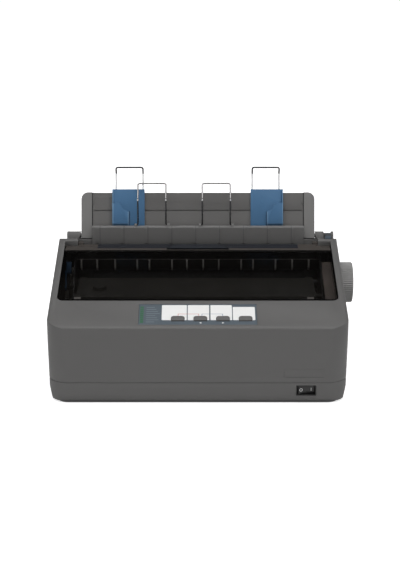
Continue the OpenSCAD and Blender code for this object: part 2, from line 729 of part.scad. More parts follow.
module platen_knob() color(case_grey) difference() {
  at(0, platen_axis[0], platen_axis[1]) rotate([0, 90, 0]) {
    translate([0, 0, half_w + 0.6]) intersection() {
      linear_extrude(knob_reach - 0.6) polygon([for (i = [0:119])
        (knob_r - (i % 2) * 0.7) * [cos(i * 3), sin(i * 3)]]);
      rotate_extrude($fn = 64) polygon([[0, 0], [knob_r - 2.2, 0], [knob_r - 0.4, 2.4],
        [knob_r, knob_reach * 0.45], [knob_r - 0.5, knob_reach * 0.75], [knob_r - 3, knob_reach - 0.9],
        [knob_r - 5, knob_reach - 0.6], [0, knob_reach - 0.6]]);
    }
    translate([0, 0, half_w - 10]) cylinder(h = 11, r = knob_hub_r);
  }
  rod([half_w - 12, half_w + knob_reach - 3], platen_axis, shaft_r);
}

module platen_gear() color(white_plastic)
  gear(gear_span, platen_axis, platen_teeth, gear_mod, 0, shaft_r);

module reduction_gear() color(white_plastic) {
  gear(gear_span, reduction_axis, small_teeth, gear_mod, small_turn, stud_r + fit);
  gear(fine_span, reduction_axis, big_teeth, fine_mod, small_turn, stud_r + fit);
  difference() {
    rod([fine_span[1] - 0.1, gear_span[0] + 0.1], reduction_axis, 4.5);
    rod([fine_span[0], gear_span[1]], reduction_axis, stud_r + fit);
  }
}

module transfer_gear() color(white_plastic)
  gear(gear_span, transfer_axis, platen_teeth, gear_mod, transfer_turn, stud_r + fit);

module motor_pinion() color([0.75, 0.6, 0.3]) {
  side(fine_span) translate(pinion_axis) rotate(pinion_turn) gear_2d(pinion_teeth, fine_mod);
  rod([fine_span[1] - 0.1, -frame_x + 1], pinion_axis, motor_shaft_r);
}

module feed_motor() color(steel) difference() {
  rod([-frame_x, -frame_x + 18], pinion_axis, motor_r);
  rod([-frame_x - 1, -frame_x + 2], pinion_axis, motor_shaft_r + 0.5);
}

module exit_rollers() color(black) {
  gear(gear_span, exit_axis, exit_teeth, gear_mod, exit_turn, roller_shaft_r - 0.2);
  rod([gear_span[0], frame_x + 3], exit_axis, roller_shaft_r);
  for (x = [-96, -32, 32, 96]) rod([x - 9, x + 9], exit_axis, exit_roller_r);
}

module pressure_rollers() color(black) {
  rod([-frame_x - 3, frame_x + 3], pressure_axis, roller_shaft_r);
  for (x = [-96, -32, 32, 96]) rod([x - 14, x + 14], pressure_axis, pressure_r);
}

// Tractors for edge-punched paper, on a square drive shaft and a round rod
module tractor_shaft() color(steel) {
  r = square_a / 2;
  side([-frame_x + 3, frame_x - 3]) translate(tractor_axis) rotate(tractor_turn)
    square(square_a, center = true);
  rod([gear_span[0] - 1, -frame_x + 3.1], tractor_axis, journal_r);
  rod([frame_x - 3.1, frame_x + 3], tractor_axis, journal_r);
  color(white_plastic)
    gear(gear_span, tractor_axis, tractor_teeth, gear_mod, tractor_turn, r - 0.5);
}

module tractor_rod() color(steel) rod([-frame_x, frame_x], rod_axis, rod_r);

module tractor(s) color(dark_grey) {
  x = s * tractor_x;
  w = tractor_w / 2;
  difference() {
    union() {
      for (e = [-1, 1]) side(e < 0 ? [x - w, x - w + cheek_t] : [x + w - cheek_t, x + w]) {
        translate(tractor_axis) circle(cheek_r);
        translate(rod_axis) circle(rod_r + tube_t);
        rect([rod_axis[0], tractor_axis[0]], [tractor_axis[1] - 9, tractor_axis[1] + 1]);
      }
      rod([x - w, x + w], rod_axis, rod_r + tube_t);
      for (d = [tractor_axis[0] - lid_half + 2, tractor_axis[0] + lid_half - 5])
        tractor_lug(s, d);
    }
    rod([x - w - 1, x + w + 1], tractor_axis, hub_r + fit);
    rod([x - w - 1, x + w + 1], rod_axis, rod_r + fit);
    at(lid_pin_x(s), tractor_axis[0] - 20, tractor_lid_z + 1) rotate([-90, 0, 0])
      cylinder(h = 40, r = 1 + fit);
  }
}

function lid_pin_x(s) = s * (tractor_x + tractor_w / 2 + 1.8);

module tractor_lug(s, d) {
  out = lid_pin_x(s) + s * 2;
  inn = lid_pin_x(s) - s * 2;
  block([min(out, inn), max(out, inn)], [d, d + 3], [tractor_axis[1] - 2, tractor_lid_z + 1]);
  at(lid_pin_x(s), d, tractor_lid_z + 1) rotate([-90, 0, 0]) cylinder(h = 3, r = 2);
}

module tractor_left() tractor(-1);

module tractor_right() tractor(1);

module sprocket(s) color(white_plastic) {
  x = s * tractor_x;
  w = tractor_w / 2;
  difference() {
    union() {
      rod([x - w, x + w], tractor_axis, hub_r);
      rod([x - w + cheek_t + 0.5, x + w - cheek_t - 0.5], tractor_axis, sprocket_r);
      for (i = [0:7]) at(x, tractor_axis[0], tractor_axis[1]) rotate([i * 45 + 10, 0, 0])
        translate([0, 0, sprocket_r - 1]) cylinder(h = 1 + sprocket_pin_h, r = 1.2);
    }
    side([x - w - 1, x + w + 1]) translate(tractor_axis) rotate(tractor_turn)
      square(square_a + 0.4, center = true);
  }
}

module sprocket_left() sprocket(-1);

module sprocket_right() sprocket(1);

module tractor_cover(s) color(dark_grey) {
  inn = s * (tractor_x - tractor_w / 2 - 3);
  out = s * (tractor_x + tractor_w / 2 - 0.5);
  pin = lid_pin_x(s);
  block([min(inn, out), max(inn, out)], [tractor_axis[0] - lid_half, tractor_axis[0] + lid_half],
    [tractor_lid_z, tractor_lid_z + lid_t]);
  block([min(out, pin), max(out, pin)],
    [tractor_axis[0] - lid_half + 5.5, tractor_axis[0] + lid_half - 5.5],
    [tractor_lid_z, tractor_lid_z + lid_t]);
  at(pin, tractor_axis[0] - lid_half + 2, tractor_lid_z + 1) rotate([-90, 0, 0])
    cylinder(h = 2 * lid_half - 4, r = 1);
}

module tractor_cover_left() tractor_cover(-1);

module tractor_cover_right() tractor_cover(1);

module lock_lever(s) color(lever_blue) {
  a = s * (tractor_x - tractor_w / 2 - 0.4);
  b = s * (tractor_x - tractor_w / 2 - 3.2);
  span = [min(a, b), max(a, b)];
  difference() {
    union() {
      rod(span, rod_axis, rod_r + 3);
      side(span) translate(rod_axis) rotate(115) rect([0, 17], [-2.4, 2.4]);
    }
    rod([span[0] - 1, span[1] + 1], rod_axis, rod_r + 0.08);
  }
}

module lock_lever_left() lock_lever(-1);

module lock_lever_right() lock_lever(1);

// Curved guide under the platen, and the wall behind it that leads sheets down from the slot
module paper_pan() color(dark_grey) difference() {
  union() {
    for (a = [[-150, -96], [-44, 0]]) side([-frame_x, frame_x]) translate(platen_axis)
      difference() {
        circle(platen_r + 3.8);
        circle(platen_r + 2.4);
        rotate(a[1]) rect([-60, 60], [0, 60]);
        rotate(a[0]) rect([-60, 60], [-60, 0]);
      }
    side([-bay_x, bay_x]) polygon([[guide_d + 0.4, platen_axis[1] + 14],
      [guide_d + 0.4, deck_z + 1.5], [guide_d + 2, deck_z + 1.5], [guide_d + 2, platen_axis[1] + 13],
      [platen_d + platen_r + 3.8, platen_axis[1] - 1.4], [platen_d + platen_r + 2.4, platen_axis[1]]]);
  }
}

// Ribbed guide above the platen
module rib_guide() color([0.55, 0.55, 0.54]) {
  z = [platen_axis[1] + 16.5, platen_axis[1] + 32];
  side([-frame_x, frame_x]) polygon([[platen_d - 2, z[0] + 1.5], [platen_d - 5, z[1]],
    [platen_d - 3, z[1]], [platen_d, z[0] + 1.5]]);
  for (x = rib_x) if (abs(x) < frame_x - 4) side([x - 1, x + 1]) polygon([[platen_d - 5, z[0] + 1], [platen_d - 10, z[0] + 6],
    [platen_d - 9, z[1]], [platen_d - 3, z[1]], [platen_d - 1, z[0] + 1.5]]);
}

// Steel side frames with bores and studs for the shafts
module frame_2d() {
  z = platen_axis[1];
  polygon([[frame_front_d, base_z], [frame_front_d, z - 6], [platen_d - 35, z + 18], [platen_d - 23, z + 33],
    [platen_d + 18, z + 33], [platen_d + 18, z + 7], [frame_rear_d, z + 7], [frame_rear_d, base_z]]);
}

module left_side_frame() color(steel) {
  difference() {
    side([-frame_x - frame_t, -frame_x]) frame_2d();
    for (h = [[platen_axis, shaft_r + fit], [exit_axis, roller_shaft_r + fit],
      [pressure_axis, roller_shaft_r + fit], [tractor_axis, journal_r + fit],
      [pinion_axis, motor_shaft_r + 1.5]])
      rod([-frame_x - frame_t - 1, -frame_x + 1], h[0], h[1]);
  }
  rod([gear_span[0] - 1, -frame_x - frame_t + 0.1], transfer_axis, stud_r);
  rod([fine_span[0] - 1, -frame_x - frame_t + 0.1], reduction_axis, stud_r);
  rod([fine_span[0], -frame_x - frame_t + 0.1], thick_axis, 2);
}

module right_side_frame() color(steel) {
  difference() {
    side([frame_x, frame_x + frame_t]) frame_2d();
    for (h = [[platen_axis, shaft_r + fit], [exit_axis, roller_shaft_r + fit],
      [pressure_axis, roller_shaft_r + fit], [tractor_axis, journal_r + fit]])
      rod([frame_x - 1, frame_x + frame_t + 1], h[0], h[1]);
  }
  rod([frame_x + frame_t - 0.1, bay_x + 15], release_axis, 2);
}

module base_frame() color(steel) {
  block([-frame_x, frame_x], [frame_front_d, frame_rear_d], [base_z, base_z + base_t]);
  block([-frame_x, frame_x], [frame_front_d, frame_front_d + 1.5], [base_z, arm_z - gap]);
}

module carriage_rail() color(bright) rod([-frame_x, frame_x], rail_axis, rail_r);

module carriage() color(dark_grey) {
  w = carriage_w / 2;
  difference() {
    union() {
      block([-w, w], [rail_d - 12, rail_d + 14], [rail_z - 8, rail_z + 8]);
      block([-w, w], [frame_front_d - 2, rail_d - 11], [arm_z, rail_z + 8]);
      block([-8, 8], [belt_d + pulley_r - 3.4, belt_d + pulley_r + 2.6],
        [belt_z - 1.5, arm_z + 0.1]);
    }
    rod([-w - 1, w + 1], rail_axis, rail_r + fit);
    block([-9, 9], [belt_d + pulley_r - belt_gap, belt_d + pulley_r + belt_t + belt_gap],
      [belt_z - 2, belt_z + belt_h + 0.5]);
  }
}

module print_head() color(black) {
  z0 = rail_z + 8;
  z1 = cartridge_z[0] - 1;
  difference() {
    block([-19, 19], [rail_d - 8, rail_d + 17], [z0, z1]);
    for (i = [0:3]) both([14, 20], [rail_d - 5 + i * 5, rail_d - 3 + i * 5], [z0 + 3, z1 + 1]);
  }
  block([-9, 9], [rail_d + 16.9, rail_d + 20.5], [z0 + 4, z1]);
  block([-5, 5], [rail_d + 20.4, nose_d], [nose_z - 5, nose_z + 5]);
}

module carriage_motor() color(steel) {
  post(-pulley_x, belt_d, [base_z + base_t, motor2_top_z], motor2_r);
}

module pulley(x, z0) difference() {
  union() {
    post(x, belt_d, [belt_z, belt_z + belt_h], pulley_r);
    post(x, belt_d, [belt_z - 1.4, belt_z - 0.2], pulley_r + 2.2);
    post(x, belt_d, [belt_z - 0.3, belt_z], pulley_r);
  }
  post(x, belt_d, [z0, z0 + 1], 0.5);
}

module drive_pulley() color(bright) {
  pulley(-pulley_x, belt_z - 4);
  post(-pulley_x, belt_d, [motor2_top_z, belt_z - 1.3], 2);
}

module idler_pulley() color(white_plastic) difference() {
  pulley(pulley_x, belt_z - 4);
  post(pulley_x, belt_d, [belt_z - 3, belt_z + belt_h + 1], 2 + fit);
}

module timing_belt() color(black) {
  at(0, belt_d, belt_z) linear_extrude(belt_h) difference() {
    union() {
      rect([-pulley_x, pulley_x], [-pulley_r - belt_t, pulley_r + belt_t]);
      for (s = [-1, 1]) translate([s * pulley_x, 0]) circle(pulley_r + belt_t);
    }
    rect([-pulley_x, pulley_x], [-pulley_r - 0.02, pulley_r + 0.02]);
    for (s = [-1, 1]) translate([s * pulley_x, 0]) circle(pulley_r + 0.02);
  }
}

// Ribbon cartridge with its arms and the inked band in front of the platen
module ribbon_cartridge() color([0.16, 0.15, 0.14]) {
  z = cartridge_z;
  block([-frame_x + 5, frame_x - 9], cartridge_d, z);
  block([-frame_x, -frame_x + 6], [cartridge_d[0] + 25, cartridge_d[0] + 34], [z[0], z[0] + 3]);
  block([frame_x - 10, frame_x], [cartridge_d[0] + 25, cartridge_d[0] + 34], [z[0], z[0] + 3]);
  band_d = platen_d - platen_r - 1.4;
  for (x = [[-frame_x + 5, -frame_x + 13], [frame_x - 17, frame_x - 9]])
    block(x, [cartridge_d[1] - 1, band_d], [nose_z - 6, z[1] - 2]);
  color(black) block([-frame_x + 5, frame_x - 9], [band_d, band_d + 0.3],
    [nose_z - 6, nose_z + 6]);
}

module ribbon_knob() color(dark_grey) at(knob_at[0], knob_at[1], cartridge_z[1] + gap) {
  linear_extrude(5) polygon([for (i = [0:35]) (8 - (i % 2) * 0.6) * [cos(i * 10), sin(i * 10)]]);
}

module thickness_lever() color(lever_blue) difference() {
  union() {
    tip = 32;
    span = [fine_span[0] + 0.6, fine_span[0] + 3];
    rod(span, thick_axis, 4);
    side(span) translate(thick_axis) rotate(60) rect([0, tip - 11], [-2, 2]);
    side([span[1] - 0.9, span[1] + 5.5]) translate(thick_axis) rotate(60)
      rect([tip - 14, tip], [-2.5, 2.5]);
  }
  rod([fine_span[0] - 2, -frame_x - 2], thick_axis, 2 + fit);
}

module release_lever() color(dark_grey) difference() {
  union() {
    span = [bay_x + 10, bay_x + 13];
    rod(span, release_axis, 4.5);
    side(span) polygon([[release_axis[0] - 2, release_axis[1]], [lever_d - 3, guide_pivot[1] + 2],
      [lever_d + 2, guide_pivot[1] + 2], [release_axis[0] + 3, release_axis[1]]]);
    color(lever_blue) block([bay_x + 9.6, bay_x + 16.6], [lever_d - 3, lever_d + 2],
      [guide_pivot[1] - 4, guide_pivot[1] + 5]);
  }
  rod([bay_x + 9, bay_x + 16], release_axis, 2 + fit);
}

module main_board() color(board_green) {
  block(board_x, board_d, [port_z - 1.6, port_z]);
  for (c = [[22, 30, 24, 24, 3], [72, 60, 30, 30, 3.5], [142, 40, 14, 20, 12]])
    translate([board_x[0], board_d[0], 0])
      color(black) block([c[0], c[0] + c[2]], [c[1], c[1] + c[3]], [port_z, port_z + c[4]]);
  for (x = [board_x[0] + 6, board_x[1] - 10], d = [board_d[0] + 10, board_d[1] - 43])
    post(x, d, [foot_h + wall, port_z - 1.6], 3);
}

module power_supply() color([0.55, 0.42, 0.22]) {
  top = port_z - 1.4;
  block(supply_x, supply_d, [port_z - 3, top]);
  color(black) block([supply_x[0] + 10, supply_x[0] + 46], [supply_d[0] + 10, supply_d[0] + 46],
    [top, port_z + 16]);
  color(steel) block([supply_x[1] - 22, supply_x[1] - 18], [supply_d[0] + 8, supply_d[1] - 32],
    [top, port_z + 17]);
  for (x = [supply_x[0] + 6, supply_x[1] - 8], d = [supply_d[0] + 6, supply_d[1] - 8])
    post(x, d, [foot_h + wall, port_z - 3], 3);
}

// Three-pin mains inlet in the rear wall
module mains_inlet() color(black) difference() {
  block([inlet_x[0], inlet_x[1]], [body_d - 22, body_d - 0.2], inlet_z);
  block([inlet_x[0] + 2, inlet_x[1] - 2], [body_d - 16, body_d + 1], [inlet_z[0] + 2, inlet_z[1] - 2]);
}

module interface_ports() color(black) for (p = ports) difference() {
  block([p[0], p[1]], [body_d - 14, body_d - 0.2], [port_z, port_z + p[2]]);
  block([p[0] + 2, p[1] - 2], [body_d - 9, body_d + 1], [port_z + 2, port_z + p[2] - 2]);
}

lower_case();
upper_case();
rubber_feet();
case_screws();
printer_cover();
exit_panel();
sheet_guide();
edge_guide_left();
edge_guide_right();
guide_wire_left();
guide_wire_right();
exit_wire_left();
exit_wire_right();
control_panel();
button_1();
button_2();
button_3();
button_4();
switch_housing();
power_rocker();
platen();
platen_shaft();
platen_knob();
platen_gear();
reduction_gear();
transfer_gear();
motor_pinion();
feed_motor();
tractor_shaft();
tractor_rod();
tractor_left();
tractor_right();
sprocket_left();
sprocket_right();
tractor_cover_left();
tractor_cover_right();
lock_lever_left();
lock_lever_right();
pressure_rollers();
exit_rollers();
paper_pan();
rib_guide();
left_side_frame();
right_side_frame();
base_frame();
carriage_rail();
carriage();
print_head();
carriage_motor();
drive_pulley();
idler_pulley();
timing_belt();
ribbon_cartridge();
ribbon_knob();
thickness_lever();
release_lever();
main_board();
power_supply();
mains_inlet();
interface_ports();
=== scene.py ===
# %% [markdown]
# # A dot matrix printer, dressed for its picture
# The printer arrives as a frame: sixty plain solid parts, each on a body that can move.
# This lesson keeps every part where it is and gives the printer its looks. Some parts
# only get a finish. Others are modelled again in Blender, with rounded edges, ribs and
# seams, and each new piece rides on the body of the part that it stands for.

# %% Load the frame
import json
import math
import bpy
import bmesh
from contextlib import contextmanager
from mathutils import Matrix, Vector

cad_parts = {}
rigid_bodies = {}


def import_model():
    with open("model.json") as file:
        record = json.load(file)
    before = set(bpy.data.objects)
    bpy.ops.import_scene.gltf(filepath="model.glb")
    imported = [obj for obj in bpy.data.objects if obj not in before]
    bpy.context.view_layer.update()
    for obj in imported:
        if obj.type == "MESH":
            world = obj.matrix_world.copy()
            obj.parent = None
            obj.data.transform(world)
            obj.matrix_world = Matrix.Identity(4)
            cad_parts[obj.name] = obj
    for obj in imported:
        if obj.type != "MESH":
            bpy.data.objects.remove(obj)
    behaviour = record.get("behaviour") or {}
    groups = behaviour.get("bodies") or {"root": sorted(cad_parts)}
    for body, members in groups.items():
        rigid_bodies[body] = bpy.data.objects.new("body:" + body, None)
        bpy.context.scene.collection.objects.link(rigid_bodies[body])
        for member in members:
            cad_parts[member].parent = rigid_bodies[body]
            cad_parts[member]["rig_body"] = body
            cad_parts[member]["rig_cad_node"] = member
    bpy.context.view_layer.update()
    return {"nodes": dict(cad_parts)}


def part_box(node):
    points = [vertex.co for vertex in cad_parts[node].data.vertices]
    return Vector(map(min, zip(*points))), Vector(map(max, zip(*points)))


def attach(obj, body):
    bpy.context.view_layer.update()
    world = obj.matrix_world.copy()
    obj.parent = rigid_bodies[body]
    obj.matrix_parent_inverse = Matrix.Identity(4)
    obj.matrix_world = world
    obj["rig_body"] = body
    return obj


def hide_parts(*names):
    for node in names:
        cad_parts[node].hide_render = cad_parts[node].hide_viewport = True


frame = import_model()
nodes = frame["nodes"]

# %% [markdown]
# ## Places
# A printer is easiest to measure from its case: so far left or right of the middle of
# the case, so far behind the front face, so high above the table, all in millimetres.
# The knob stands out on the right, so the middle of the case is a little left of the
# middle of the whole printer. One function turns such a place into Blender's metres.

# %% Places on the printer
MM = 0.001
case_low, case_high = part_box("lower_case")
CASE_OFFSET = -(case_low[0] + case_high[0]) / 2 / MM  # from the middle of the case to the middle of all
HALF_DEPTH = 137.5  # half of the case, from front to back
FRONT_TOP = 94  # top of the front face
TOP_ANGLE = math.radians(11.77)  # slope of the top and of the cover
RIDGE_DEPTH = 171  # where the cover bends from its slope to its level deck
GUIDE_DEPTH = 214  # foot of the sheet guide
GUIDE_LEAN = math.radians(20)  # how far the sheet guide leans back


def at(x, depth, height):
    """The point x from the middle of the case, depth behind its front, height above the table."""
    return Vector((x - CASE_OFFSET, depth - HALF_DEPTH, height)) * MM


def top_at(depth):
    """Height of the sloping top at a depth."""
    return FRONT_TOP + math.tan(TOP_ANGLE) * depth


DECK = top_at(RIDGE_DEPTH)
LEDGE = DECK + 20


def on_guide(x, up, out):
    """A point on the leaning sheet guide: up its face from the ledge, and out towards the front."""
    lean_x, lean_y = math.sin(GUIDE_LEAN), math.cos(GUIDE_LEAN)
    return at(x, GUIDE_DEPTH + up * lean_x - out * lean_y, LEDGE - 0.6 + up * lean_y + out * lean_x)


print(f"ridge {DECK:.1f} mm and ledge {LEDGE:.1f} mm above the table")

# %% [markdown]
# ## The camera
# A picture only matches when it is taken from the same place. The photograph was taken
# from straight in front, about 1.86 m away and 20 degrees up, through a long lens that
# keeps the sides nearly parallel. The film is as wide as Blender's usual 36 mm, laid
# along the longer side of the picture, which is its height.

# %% Camera
CAMERA_DISTANCE = 1.856
CAMERA_RISE = math.radians(20)
LENS = 95.9
LOOK_AT = Vector((2.6 - CASE_OFFSET, 0, 96.5)) * MM

camera_data = bpy.data.cameras.new("camera")
camera_data.lens = LENS
camera_data.sensor_width = 36
camera_data.clip_start = 0.05
camera = bpy.data.objects.new("camera", camera_data)
bpy.context.scene.collection.objects.link(camera)
camera.location = LOOK_AT + CAMERA_DISTANCE * Vector((0, -math.cos(CAMERA_RISE), math.sin(CAMERA_RISE)))
camera.rotation_euler = (math.pi / 2 - CAMERA_RISE, 0, 0)
bpy.context.scene.camera = camera
bpy.context.scene.view_settings.view_transform = "Standard"
print("camera at", [round(c, 3) for c in camera.location])

# %% [markdown]
# ## Shader sums
# A finish in Blender is a tree of nodes. Dragging wires is slow to read back, so one
# small class stands for a wire, and an ordinary sum on two wires adds the Math node
# for it. A second class stands for a whole finish and adds any other node.

# %% A wire that can be added, scaled and compared
class Wire:
    """One output of a shader node. Sums on wires add Math nodes."""

    def __init__(self, tree, socket):
        self.tree = tree
        self.socket = socket

    def math(self, operation, *values):
        sum_node = self.tree.nodes.new("ShaderNodeMath")
        sum_node.operation = operation
        for place, value in zip(sum_node.inputs, values):
            plug(self.tree, value, place)
        return Wire(self.tree, sum_node.outputs[0])

    def __add__(self, other):
        return self.math("ADD", self, other)

    def __radd__(self, other):
        return self.math("ADD", other, self)

    def __sub__(self, other):
        return self.math("SUBTRACT", self, other)

    def __rsub__(self, other):
        return self.math("SUBTRACT", other, self)

    def __mul__(self, other):
        return self.math("MULTIPLY", self, other)

    def __rmul__(self, other):
        return self.math("MULTIPLY", other, self)

    def __pow__(self, other):
        return self.math("POWER", self, other)

    def size(self):
        return self.math("ABSOLUTE", self)

    def low(self, other):
        return self.math("MINIMUM", self, other)

    def high(self, other):
        return self.math("MAXIMUM", self, other)

    def wave(self, pitch):
        """Goes 0 to 1 and back to 0 once in each pitch."""
        return self.math("PINGPONG", self, pitch / 2) * (2 / pitch)


def plug(tree, value, place):
    """Feeds a socket with a wire or with a plain value."""
    if isinstance(value, Wire):
        tree.links.new(value.socket, place)
    elif place.type == "RGBA" and len(value) == 3:
        place.default_value = (*value, 1)
    else:
        place.default_value = value


# %% A finish
class Finish:
    """A material with one main shader, and the nodes that feed it."""

    def __init__(self, name, **constants):
        self.material = bpy.data.materials.new(name)
        self.material.use_nodes = True
        self.tree = self.material.node_tree
        self.tree.nodes.clear()
        self.shader = self.tree.nodes.new("ShaderNodeBsdfPrincipled")
        output = self.tree.nodes.new("ShaderNodeOutputMaterial")
        self.tree.links.new(self.shader.outputs[0], output.inputs["Surface"])
        self.set(**constants)
        self.metres = self.node("ShaderNodeTexCoord", output="Object")
        split = self.node("ShaderNodeSeparateXYZ", Vector=self.metres).socket.node
        self.x, self.y, self.z = (Wire(self.tree, s) * 1000 for s in split.outputs)

    def case_x(self):
        """Millimetres right of the middle of the case."""
        return self.x + CASE_OFFSET

    def depth(self):
        """Millimetres behind the front of the case."""
        return self.y + HALF_DEPTH

    def patch(self, x, y, left, right, near, far, round_by=0.6, soft=0.12):
        """1 inside a rectangle with round corners, 0 outside."""
        over_x = ((x - (left + right) / 2).size() - ((right - left) / 2 - round_by)).high(0)
        over_y = ((y - (near + far) / 2).size() - ((far - near) / 2 - round_by)).high(0)
        out = (over_x * over_x + over_y * over_y) ** 0.5
        return self.spread(out, round_by - soft, round_by + soft, 1, 0)

    def set(self, **values):
        for key, value in values.items():
            plug(self.tree, value, self.shader.inputs[key.replace("_", " ")])

    def node(self, kind, settings=None, output=0, **sockets):
        """Any node: its type, its settings, then what goes into its sockets."""
        made = self.tree.nodes.new(kind)
        for key, value in (settings or {}).items():
            setattr(made, key, value)
        for key, value in sockets.items():
            place = made.inputs[int(key[1:])] if key[0] == "i" and key[1:].isdigit() else made.inputs[key]
            plug(self.tree, value, place)
        return Wire(self.tree, made.outputs[output])

    def noise(self, grain_mm, detail=2, rough=0.5, stretch=(1, 1, 1)):
        """Cloudy noise, 0 to 1, whose lumps are about grain_mm across."""
        where = self.metres
        if stretch != (1, 1, 1):
            where = self.node("ShaderNodeMapping", Vector=where, Scale=stretch)
        return self.node("ShaderNodeTexNoise", {}, Vector=where, Scale=1000 / grain_mm,
                         Detail=detail, Roughness=rough)

    def spread(self, wire, low, high, to_low=0.0, to_high=1.0):
        """Stretches the part of a wire between low and high over another range."""
        return self.node("ShaderNodeMapRange", {"clamp": True}, i0=wire, i1=low, i2=high,
                         i3=to_low, i4=to_high)

    def blend(self, share, first, second):
        """Mixes two colours by a share, 0 to 1."""
        return self.node("ShaderNodeMix", {"data_type": "RGBA"}, output=2, i0=share, i6=first, i7=second)

    def relief(self, height_mm):
        """Small ups and downs in millimetres, as the light sees them."""
        return self.node("ShaderNodeBump", {}, Height=height_mm, Distance=MM, Strength=1.0)


print("shader helpers ready")

# %% [markdown]
# ## Floor
# A catalogue picture stands on white paper. More lamps would make a floor white, and would
# bleach the printer too. So the floor is nearly white, and a little light of its own, seen
# only by the camera, lifts it to paper white, while the shadow at the feet stays. Glossy
# parts see less of that light. Hardly any light gets in under the case, so a painted shadow
# makes the paper dark there, which keeps the thin line of shadow along the foot.

# %% Floor
FLOOR_LIFT = 0.75
FLOOR_IN_GLOSS = 0.3
bpy.ops.mesh.primitive_plane_add(size=60, location=(0, 0, 0))
floor = bpy.context.object
floor.name = "floor"

floor_finish = Finish("pale_floor", Roughness=0.9)
# painted shadow: under the case both the colour of the paper and its own light are made dark
shadow_under_case = floor_finish.patch(floor_finish.case_x(), floor_finish.depth(), -164, 164, 4.0, 268, 14, 1.0)
floor_finish.set(Base_Color=floor_finish.blend(shadow_under_case, (0.9, 0.9, 0.9), (0.12, 0.12, 0.12)))
seen = floor_finish.node("ShaderNodeLightPath")
seen_directly = seen.high(Wire(seen.tree, seen.socket.node.outputs["Is Transmission Ray"]))
seen_in_gloss = Wire(seen.tree, seen.socket.node.outputs["Is Glossy Ray"]) * FLOOR_IN_GLOSS
floor_finish.set(Emission_Color=floor_finish.blend(shadow_under_case, (1, 1, 1), (0.06, 0.06, 0.06)),
                 Emission_Strength=seen_directly.high(seen_in_gloss) * FLOOR_LIFT)
floor.data.materials.append(floor_finish.material)
print("floor", [round(s, 1) for s in floor.dimensions])

# %% [markdown]
# ## Room
# Shiny parts mirror the room, so the room is half of their finish. A picture of a studio
# could stand there, but two greys are enough: an even one that fills the shadows, and a
# dark one high up at the back, because the sloping cover mirrors that part of the room and
# looks black in the photograph. The camera itself sees white behind the printer.

# %% Room
ROOM_LEVEL = 0.38
BACK_LEVEL = 0.10
world = bpy.data.worlds.new("room")
bpy.context.scene.world = world
world.use_nodes = True
room = world.node_tree
room.nodes.clear()
ray = room.nodes.new("ShaderNodeLightPath")
direction = room.nodes.new("ShaderNodeTexCoord")
split = room.nodes.new("ShaderNodeSeparateXYZ")
room.links.new(direction.outputs["Generated"], split.inputs[0])
backwards = Wire(room, split.outputs["Y"])
upwards = Wire(room, split.outputs["Z"])
dark_back = (backwards * 2.0).high(0).low(1) * ((upwards - 0.12) * 5).high(0).low(1)
level = ROOM_LEVEL - dark_back * (ROOM_LEVEL - BACK_LEVEL)
is_camera = Wire(room, ray.outputs["Is Camera Ray"])
is_through = Wire(room, ray.outputs["Is Transmission Ray"])
white = is_camera.high(is_through)
background = room.nodes.new("ShaderNodeBackground")
plug(room, level + white * (1 - level), background.inputs["Strength"])
world_output = room.nodes.new("ShaderNodeOutputWorld")
room.links.new(background.outputs[0], world_output.inputs["Surface"])
print("room:", ROOM_LEVEL, "and at the back", BACK_LEVEL)

# %% [markdown]
# ## Lamps
# The shadow in the photograph has no sharp edge and the top of the case is a little
# lighter than its face. One large lamp overhead and two weak ones in front, to the left
# and right, give that. A sun or a point lamp would draw hard edges.


# %% Lamps
def softbox(name, place, aim, size, watts):
    """A rectangular lamp that points from place at aim."""
    lamp_data = bpy.data.lights.new(name, "AREA")
    lamp_data.shape = "RECTANGLE"
    lamp_data.size, lamp_data.size_y = size
    lamp_data.energy = watts
    lamp = bpy.data.objects.new(name, lamp_data)
    bpy.context.scene.collection.objects.link(lamp)
    lamp.location = place
    lamp.rotation_euler = (Vector(aim) - Vector(place)).to_track_quat("-Z", "Y").to_euler()
    return lamp


softbox("overhead", (0, -0.25, 1.9), (0, 0, 0.1), (2.2, 1.4), 29)
softbox("front_left", (-1.6, -1.9, 1.1), (0, 0, 0.08), (1.2, 1.2), 2.5)
softbox("front_right", (1.6, -1.9, 1.1), (0, 0, 0.08), (1.2, 1.2), 2.5)

# %% [markdown]
# ## Moulded plastic
# The case is injection moulded in a mould whose walls were etched, so its surface is a
# very fine matt grain. Two noises make it: one half a millimetre across for the grain
# itself, and one a few centimetres across for the faint cloudiness of a large moulding.
# A picture of plastic would stretch at the sides, and noise in millimetres doesn't. Every
# moulded part of the printer shares this recipe in its own shade.


# %% Grained plastic
TINT = 0.05


def plastic(name, colour, roughness=0.55, grain=0.035, grain_size=0.45):
    """Moulded plastic with an etched grain, in one shade."""
    made = Finish(name, Roughness=roughness, Specular_IOR_Level=0.4)
    cloud = made.noise(38, detail=3)
    speck = made.noise(grain_size, detail=3, rough=0.65)
    darker = [c * (1 - TINT) for c in colour]
    lighter = [c * (1 + TINT) for c in colour]
    shade = made.blend(made.spread(cloud * 0.7 + speck * 0.3, 0.35, 0.65), darker, lighter)
    made.set(Base_Color=shade, Roughness=made.spread(cloud, 0.3, 0.7, roughness - 0.05, roughness + 0.05))
    made.set(Normal=made.relief(speck * grain))
    return made


